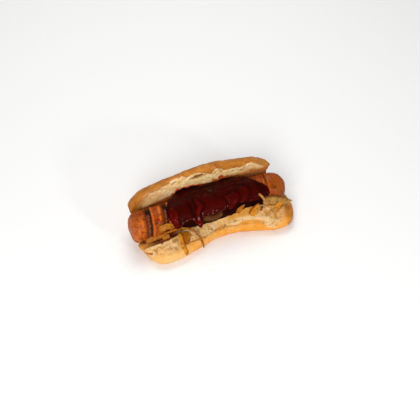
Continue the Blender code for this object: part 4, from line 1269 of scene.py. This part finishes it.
# Seen from above: place, length, how flat
BROWN_BITS = ((51.8, -20.0, 3.8, 0.8), (50.4, -21.8, 2.8, 0.8), (-51.0, -16.8, 3.4, 0.5),
              (-47.6, -16.4, 3.8, 0.5), (22.0, -19.0, 1.8, 0.7), (10.1, -19.0, 2.0, 0.7),
              (29.2, -21.0, 1.5, 0.7), (7.6, -21.9, 1.6, 0.6), (-5.5, -19.6, 2.2, 0.6),
              (-8.6, -18.8, 1.6, 0.7), (13.5, -24.6, 1.1, 0.5), (10.6, -26.5, 0.9, 0.5),
              (41.5, -22.6, 1.0, 0.7), (57.5, -35.0, 1.6, 0.4), (-23.5, -21.6, 1.3, 0.6),
              (-62.0, -22.6, 1.0, 0.6))
# Seen from above: place, length
LOOSE_CRUMBS = ((-69.0, -23.0, 1.7), (-58.5, -24.5, 1.2), (-30.5, -26.0, 1.1), (-16.0, -22.0, 1.5),
                (1.0, -20.2, 1.8), (16.0, -20.8, 1.6), (33.5, -23.6, 1.4), (47.0, -24.8, 2.0),
                (52.0, -26.0, 1.5), (61.0, -25.5, 2.2), (66.5, -28.5, 1.6), (71.5, -26.0, 2.0),
                (73.0, -20.8, 1.4), (44.5, -22.2, 1.6), (-44.5, -20.0, 1.3))
CRUMB_FLATNESS = 0.9


def lump(centre, across, flat, seed):
    """Points and faces of one rough closed lump."""
    ball = bmesh.new()
    bmesh.ops.create_icosphere(ball, subdivisions=3, radius=1.0)
    points = np.array([vertex.co[:] for vertex in ball.verts])
    faces = np.array([[vertex.index for vertex in face.verts] for face in ball.faces])
    ball.free()
    points *= (1 + 0.30 * cloud(points, 0.9, seed) + 0.14 * cloud(points, 0.4, seed + 1))[:, None]
    x, y, z = (points * (0.5, 0.32, 0.42 * flat) * across).T
    turn = seed * 1.7
    points = np.stack([x * math.cos(turn) - y * math.sin(turn), x * math.sin(turn) + y * math.cos(turn), z],
                      axis=1)
    return points + centre, faces


def lumps_on(bread, places, name):
    """One mesh of lumps that lie on the bread."""
    ground = BVHTree.FromObject(bread, bpy.context.evaluated_depsgraph_get())
    points, faces, count = [], [], 0
    for seed, (x, y, across, flat) in enumerate(places, 1):
        above = Vector(((x + SEAT[0]) * MM, (y + SEAT[1]) * MM, 0.05))
        found = ground.ray_cast(above, Vector((0, 0, -1)))[0]
        if found is None:
            continue
        some, sides = lump((x, y, found.z / MM + 0.14 * across * flat), across, flat, seed)
        points.append(some)
        faces.append(sides + count)
        count += len(some)
    return mesh_of(name, np.concatenate(points), np.concatenate(faces))


def make_bits(look):
    crumbs = [(x, y, across, CRUMB_FLATNESS) for x, y, across in LOOSE_CRUMBS]
    browned = bits_material("browned onion bits", look.bit_light, look.bit_dark, 0.4)
    bready = bits_material("loose bread crumbs", look.crumb_light, look.crumb_dark, 0.85)
    for name, places, material, slot in (("browned_onion_bits", BROWN_BITS, browned, "onion"),
                                         ("loose_crumbs", crumbs, bready, "crust")):
        mesh = lumps_on(bpy.data.objects["bun_look"], places, name)
        mesh.materials.append(material)
        piece = linked(mesh.name, mesh)
        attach(piece, "root")


# ---------------------------------------------------------------------------------------------
# Stage

FLOOR_REACH = 1.6
FLOOR_STEPS = 9
# The point that the lamps face, and each lamp's place and width in metres
LIT_PLACE = Vector((0, 0, 0.03))
LAMPS = {"overhead": ((0.12, 0.46, 0.92), 0.70), "key": ((-0.50, -0.75, 0.62), 0.45),
         "front": ((0.30, -0.90, 0.40), 0.10)}
SENSOR_WIDTH = 36
# Where the camera looks, in metres: up from the seat, then to the right and up in its own view
AIM_HEIGHT, AIM_RIGHT, AIM_UP = 0.0285, 0.000945, -0.004095


def lay_floor(look):
    steps = np.linspace(-FLOOR_REACH, FLOOR_REACH, FLOOR_STEPS).tolist()
    floor = bpy.data.meshes.new("pale_floor")
    floor.from_pydata([(x, y, 0.0) for y in steps for x in steps], [],
                      grid_faces(FLOOR_STEPS, FLOOR_STEPS).tolist())
    material, tree = new_material("pale studio floor")
    duller = tuple(part * 0.99 for part in look.floor)
    tint = layered(tree, look.floor, (patches(tree, 0.35, 0.5, 0.3), duller))
    floor.materials.append(surfaced(material, None, {"Base Color": tint, "Roughness": 0.9}))
    linked("floor", floor)


def light_stage(look):
    world = bpy.data.worlds.new("soft studio")
    world.use_nodes = True
    sky = world.node_tree.nodes["Background"].inputs
    sky["Color"].default_value = (1.0, 1.0, 1.0, 1.0)
    sky["Strength"].default_value = look.world
    bpy.context.scene.world = world
    bpy.context.scene.view_settings.view_transform = "Standard"
    for name, (place, wide) in LAMPS.items():
        lamp = bpy.data.lights.new(name + "_light", "AREA")
        lamp.shape = "DISK"
        lamp.size = wide
        lamp.energy = getattr(look, name)
        stand = linked(name + "_light", lamp)
        stand.location = place
        stand.rotation_euler = (LIT_PLACE - Vector(place)).to_track_quat("-Z", "Y").to_euler()


def aim_camera(look):
    turn, tilt = look.azimuth, look.elevation
    back = Vector((math.sin(turn) * math.cos(tilt), -math.cos(turn) * math.cos(tilt), math.sin(tilt)))
    up = Vector((-math.sin(turn) * math.sin(tilt), math.cos(turn) * math.sin(tilt), math.cos(tilt)))
    camera = bpy.data.cameras.new("camera")
    camera.lens = look.lens
    camera.sensor_width = SENSOR_WIDTH
    camera.clip_start = 0.01
    view = linked("camera", camera)
    target = Vector(SEAT * MM) + Vector((0, 0, AIM_HEIGHT)) + up.cross(back) * AIM_RIGHT + up * AIM_UP
    view.location = target + back * look.view_width * look.lens / SENSOR_WIDTH
    view.rotation_euler = back.to_track_quat("Z", "Y").to_euler()
    bpy.context.scene.camera = view


def make_stage(look):
    lay_floor(look)
    light_stage(look)
    aim_camera(look)


# ---------------------------------------------------------------------------------------------
# Add-on

def colour(name, description, *screen):
    return FloatVectorProperty(name=name, description=description, subtype="COLOR", size=3, min=0, max=1,
                               default=shade(*screen))


def size(name, description, default):
    """A length, with its default in millimetres."""
    return FloatProperty(name=name, description=description, default=default * MM, min=0.0, max=20 * MM,
                         precision=5, subtype="DISTANCE", unit="LENGTH")


def power(name, description, default):
    return FloatProperty(name=name, description=description, default=default, min=0.0, subtype="POWER",
                         unit="POWER")


class BreadLook(bpy.types.PropertyGroup):
    """The bread's mesh and colours."""
    mesh_step: size("Mesh step", "Edge length of the even mesh", 0.74)
    smoothing: IntProperty(name="Smoothing", description="Rounds of smoothing before the detail", default=12)
    crumb_relief: size("Crumb relief", "Height of the torn crumb", 0.75)
    crust_lip: size("Crust lip", "How far the crust's torn edge stands up", 0.5)
    crust_pale: colour("Pale crust", "Least baked crust", 236, 186, 114)
    crust_golden: colour("Golden crust", "Golden crust", 232, 152, 48)
    crust_tan: colour("Tan crust", "Well baked crust", 186, 114, 34)
    crust_brown: colour("Brown crust", "Most baked crust", 138, 70, 14)
    crumb_cream: colour("Cream crumb", "Light crumb", 248, 218, 170)
    crumb_warm: colour("Warm crumb", "Warmer crumb", 240, 198, 132)
    crumb_shade: colour("Shaded crumb", "Denser crumb", 214, 164, 92)
    # Painted shade in the crumb's hollows, pores, folds, dents and the bed's wall
    crumb_in_shade: colour("Deep crumb", "Crumb at the bottom of its holes", 170, 116, 44)
    # Palest crumb: a painted highlight on the front ridge, and a paler patch
    crumb_pale: colour("Pale crumb", "Palest crumb", 246, 216, 166)
    # Browned crumb, and painted shade in the frill's hollows and grooves
    toast_and_shade: colour("Toast", "Browned crumb", 176, 108, 44)
    stain: colour("Stain", "Crumb that has soaked up sauce", 200, 56, 0)
    # Painted shade inside the tears in the lid
    slit: colour("Slit", "Inside of the tear in the lid", 128, 80, 16)
    # Crumb soaked by sauce, painted near black as shade along the sauce's edge
    soaked_and_shade: colour("Soaked", "Crumb that sauce has soaked dark", 34, 3, 1)
    # Painted shadow where the lid meets the sausage, and smudges partly of painted shade
    shadow: colour("Greasy crumb", "Crumb browned by the sausage's fat", 178, 92, 26)
    # Painted shade in creases, the notch and the trench, not grease
    crease_shade: colour("Crack", "Folds and greasy hollows", 160, 66, 0)
    # Onion oil colour, and painted shade at the lid's right by the sausage and on the bed's wall
    oil: colour("Oil", "Crumb that onion oil has turned golden", 206, 136, 32)


class SausageLook(bpy.types.PropertyGroup):
    """The sausage's mesh and colours."""
    stations: IntProperty(name="Stations", description="Rings along the sausage", default=440)
    spokes: IntProperty(name="Spokes", description="Points round each ring", default=180)
    score_depth: size("Score depth", "Depth of a cut", 3.0)
    dimple: size("Dimple", "Depth of the skin's dimples", 0.8)
    lumpiness: FloatProperty(name="Lumpiness", description="Strength of the skin's lumps", default=1.0)
    skin_brown: colour("Brown skin", "Grilled skin", 142, 58, 8)
    skin_orange: colour("Orange skin", "Less grilled skin", 170, 80, 14)
    # Darker patches, and painted shade on each score's sloping side
    skin_dark: colour("Dark skin", "Darker patches", 98, 32, 6)
    # Painted light on ribs, lump crests and streaks, and lighter spots
    skin_bright_and_lit: colour("Bright skin", "Lightest ridges", 206, 104, 26)
    skin_rosy: colour("Rosy skin", "Paler end", 192, 100, 46)
    skin_even: colour("Even skin", "Smoother skin of the right end", 156, 76, 10)
    sauce_drop: colour("Sauce drop", "Drop of sauce on the skin", 158, 10, 2)
    cut_wall: colour("Cut", "Walls of the cuts", 128, 78, 54)
    # Burnt places, and painted shade in the scores' seams and the wrinkles
    char: colour("Char", "Burnt places", 34, 14, 8)


class SauceLook(bpy.types.PropertyGroup):
    """The sauce's mesh and colours."""
    mesh_step: size("Mesh step", "Spacing of the mesh's points", 0.42)
    lip_width: size("Lip width", "Width of the rounded edge", 3.0)
    # The near-black film below the edge is painted shade
    shade_film_thickness: size("Film thickness", "Thickness of the thin film below the edge", 0.4)
    deep: colour("Deep sauce", "Darkest sauce", 44, 3, 1)
    body: colour("Sauce", "Main colour", 62, 4, 1)
    # Thin edges, and painted light on the lower rims
    bright: colour("Bright sauce", "Thin edges", 98, 7, 2)
    # Painted shade below the sauce, between lobes and at the back edge
    film: colour("Film", "Thin dark film on the skin", 20, 5, 2)
    shine: FloatProperty(name="Shine", description="Gloss of the wet lower rims", default=0.75, min=0, max=1)


class OnionLook(bpy.types.PropertyGroup):
    """The onions' colours."""
    cream: colour("Cream", "Palest strand", 176, 128, 70)
    pale: colour("Pale", "Light onion", 218, 144, 34)
    # Golden onion, also painted shade on one side of the pale strand
    golden: colour("Golden", "Golden onion", 196, 114, 6)
    # Browned edges, and painted shade on one side of the strips
    brown_edges_and_shade: colour("Brown", "Edges of the onions", 138, 70, 4)
    # Painted highlight along one side of the golden strips
    rim: colour("Rim", "Thin bright rims", 224, 156, 54)
    deep_top: colour("Browned top", "Lighter side of the browned onions", 190, 122, 32)
    deep_side: colour("Browned side", "Deeper side of the browned onions", 162, 88, 6)
    # Onion under the sauce, darkened as painted shade
    soaked_and_shade: colour("Soaked", "Onion under the sauce", 82, 44, 8)
    browned: colour("Browned", "Browned spots", 96, 50, 16)
    petal_top: colour("Petal top", "Glazed middle of the petal", 190, 144, 80)
    petal_mid: colour("Petal middle", "Duller places of the petal", 160, 110, 40)
    # Painted shade on the petal's far side
    petal_shaded_side: colour("Petal back", "Far edge of the petal", 112, 78, 28)


class BitsLook(bpy.types.PropertyGroup):
    """Colours of the small bits."""
    bit_light: colour("Lighter bits", "Lighter places of the browned bits", 158, 84, 30)
    bit_dark: colour("Darker bits", "Darker places of the browned bits", 104, 44, 16)
    crumb_light: colour("Light crumbs", "Light loose crumbs", 244, 208, 152)
    crumb_dark: colour("Dark crumbs", "Toasted loose crumbs", 214, 152, 80)


class StageLook(bpy.types.PropertyGroup):
    """The studio."""
    floor: colour("Floor", "Floor colour", 254, 254, 253)
    world: FloatProperty(name="World", description="Strength of the light from all round", default=0.36)
    overhead: power("Overhead", "Overhead light", 4.2)
    key: power("Key", "Light from the front left", 6.5)
    front: power("Front", "Small frontal light", 1.6)
    azimuth: FloatProperty(name="Azimuth", description="Camera's turn round the roll",
                           default=math.radians(-23), subtype="ANGLE", unit="ROTATION")
    elevation: FloatProperty(name="Elevation", description="Camera's height over the floor",
                             default=math.radians(45), subtype="ANGLE", unit="ROTATION")
    lens: FloatProperty(name="Lens", description="Camera's focal length, in millimetres", default=85.0,
                        subtype="DISTANCE_CAMERA", unit="CAMERA")
    view_width: FloatProperty(name="View width", description="Width seen at the roll", default=0.441,
                              subtype="DISTANCE", unit="LENGTH")


class ROLL_OT_bread(bpy.types.Operator):
    """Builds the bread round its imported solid"""
    bl_idname = "roll.bread"
    bl_label = "Bread"

    def execute(self, context):
        make_bread(context.scene.roll_bread)
        return {"FINISHED"}


class ROLL_OT_sausage(bpy.types.Operator):
    """Builds the scored sausage"""
    bl_idname = "roll.sausage"
    bl_label = "Sausage"

    def execute(self, context):
        make_sausage(context.scene.roll_sausage)
        return {"FINISHED"}


class ROLL_OT_sauce(bpy.types.Operator):
    """Pours the sauce over the sausage"""
    bl_idname = "roll.sauce"
    bl_label = "Sauce"

    def execute(self, context):
        make_sauce(context.scene.roll_sauce)
        return {"FINISHED"}


class ROLL_OT_onions(bpy.types.Operator):
    """Builds the strips of fried onion"""
    bl_idname = "roll.onions"
    bl_label = "Onions"

    def execute(self, context):
        make_onions(context.scene.roll_onions)
        return {"FINISHED"}


class ROLL_OT_bits(bpy.types.Operator):
    """Scatters browned onion bits and loose crumbs on the bread"""
    bl_idname = "roll.bits"
    bl_label = "Bits and crumbs"

    def execute(self, context):
        make_bits(context.scene.roll_bits)
        return {"FINISHED"}


class ROLL_OT_stage(bpy.types.Operator):
    """Sets up the floor, the lights and the camera"""
    bl_idname = "roll.stage"
    bl_label = "Stage"

    def execute(self, context):
        make_stage(context.scene.roll_stage)
        return {"FINISHED"}


class ROLL_PT_panel(bpy.types.Panel):
    """Lists the steps that build the roll"""
    bl_idname = "ROLL_PT_panel"
    bl_label = "Currywurst Roll"
    bl_space_type = "VIEW_3D"
    bl_region_type = "UI"
    bl_category = "Currywurst Roll"

    def draw(self, context):
        for step in STEPS:
            self.layout.operator(step.bl_idname)


LOOKS = {"roll_bread": BreadLook, "roll_sausage": SausageLook, "roll_sauce": SauceLook,
         "roll_onions": OnionLook, "roll_bits": BitsLook, "roll_stage": StageLook}
STEPS = (ROLL_OT_bread, ROLL_OT_sausage, ROLL_OT_sauce, ROLL_OT_onions, ROLL_OT_bits, ROLL_OT_stage)


def register():
    for made in (*LOOKS.values(), *STEPS, ROLL_PT_panel):
        bpy.utils.register_class(made)
    for name, group in LOOKS.items():
        setattr(bpy.types.Scene, name, PointerProperty(type=group))


def unregister():
    for name in LOOKS:
        delattr(bpy.types.Scene, name)
    for made in (ROLL_PT_panel, *STEPS, *LOOKS.values()):
        bpy.utils.unregister_class(made)


def main():
    register()
    bpy.ops.roll.bread()
    bpy.ops.roll.sausage()
    bpy.ops.roll.sauce()
    bpy.ops.roll.onions()
    bpy.ops.roll.bits()
    bpy.ops.roll.stage()


if __name__ == "__main__":
    main()
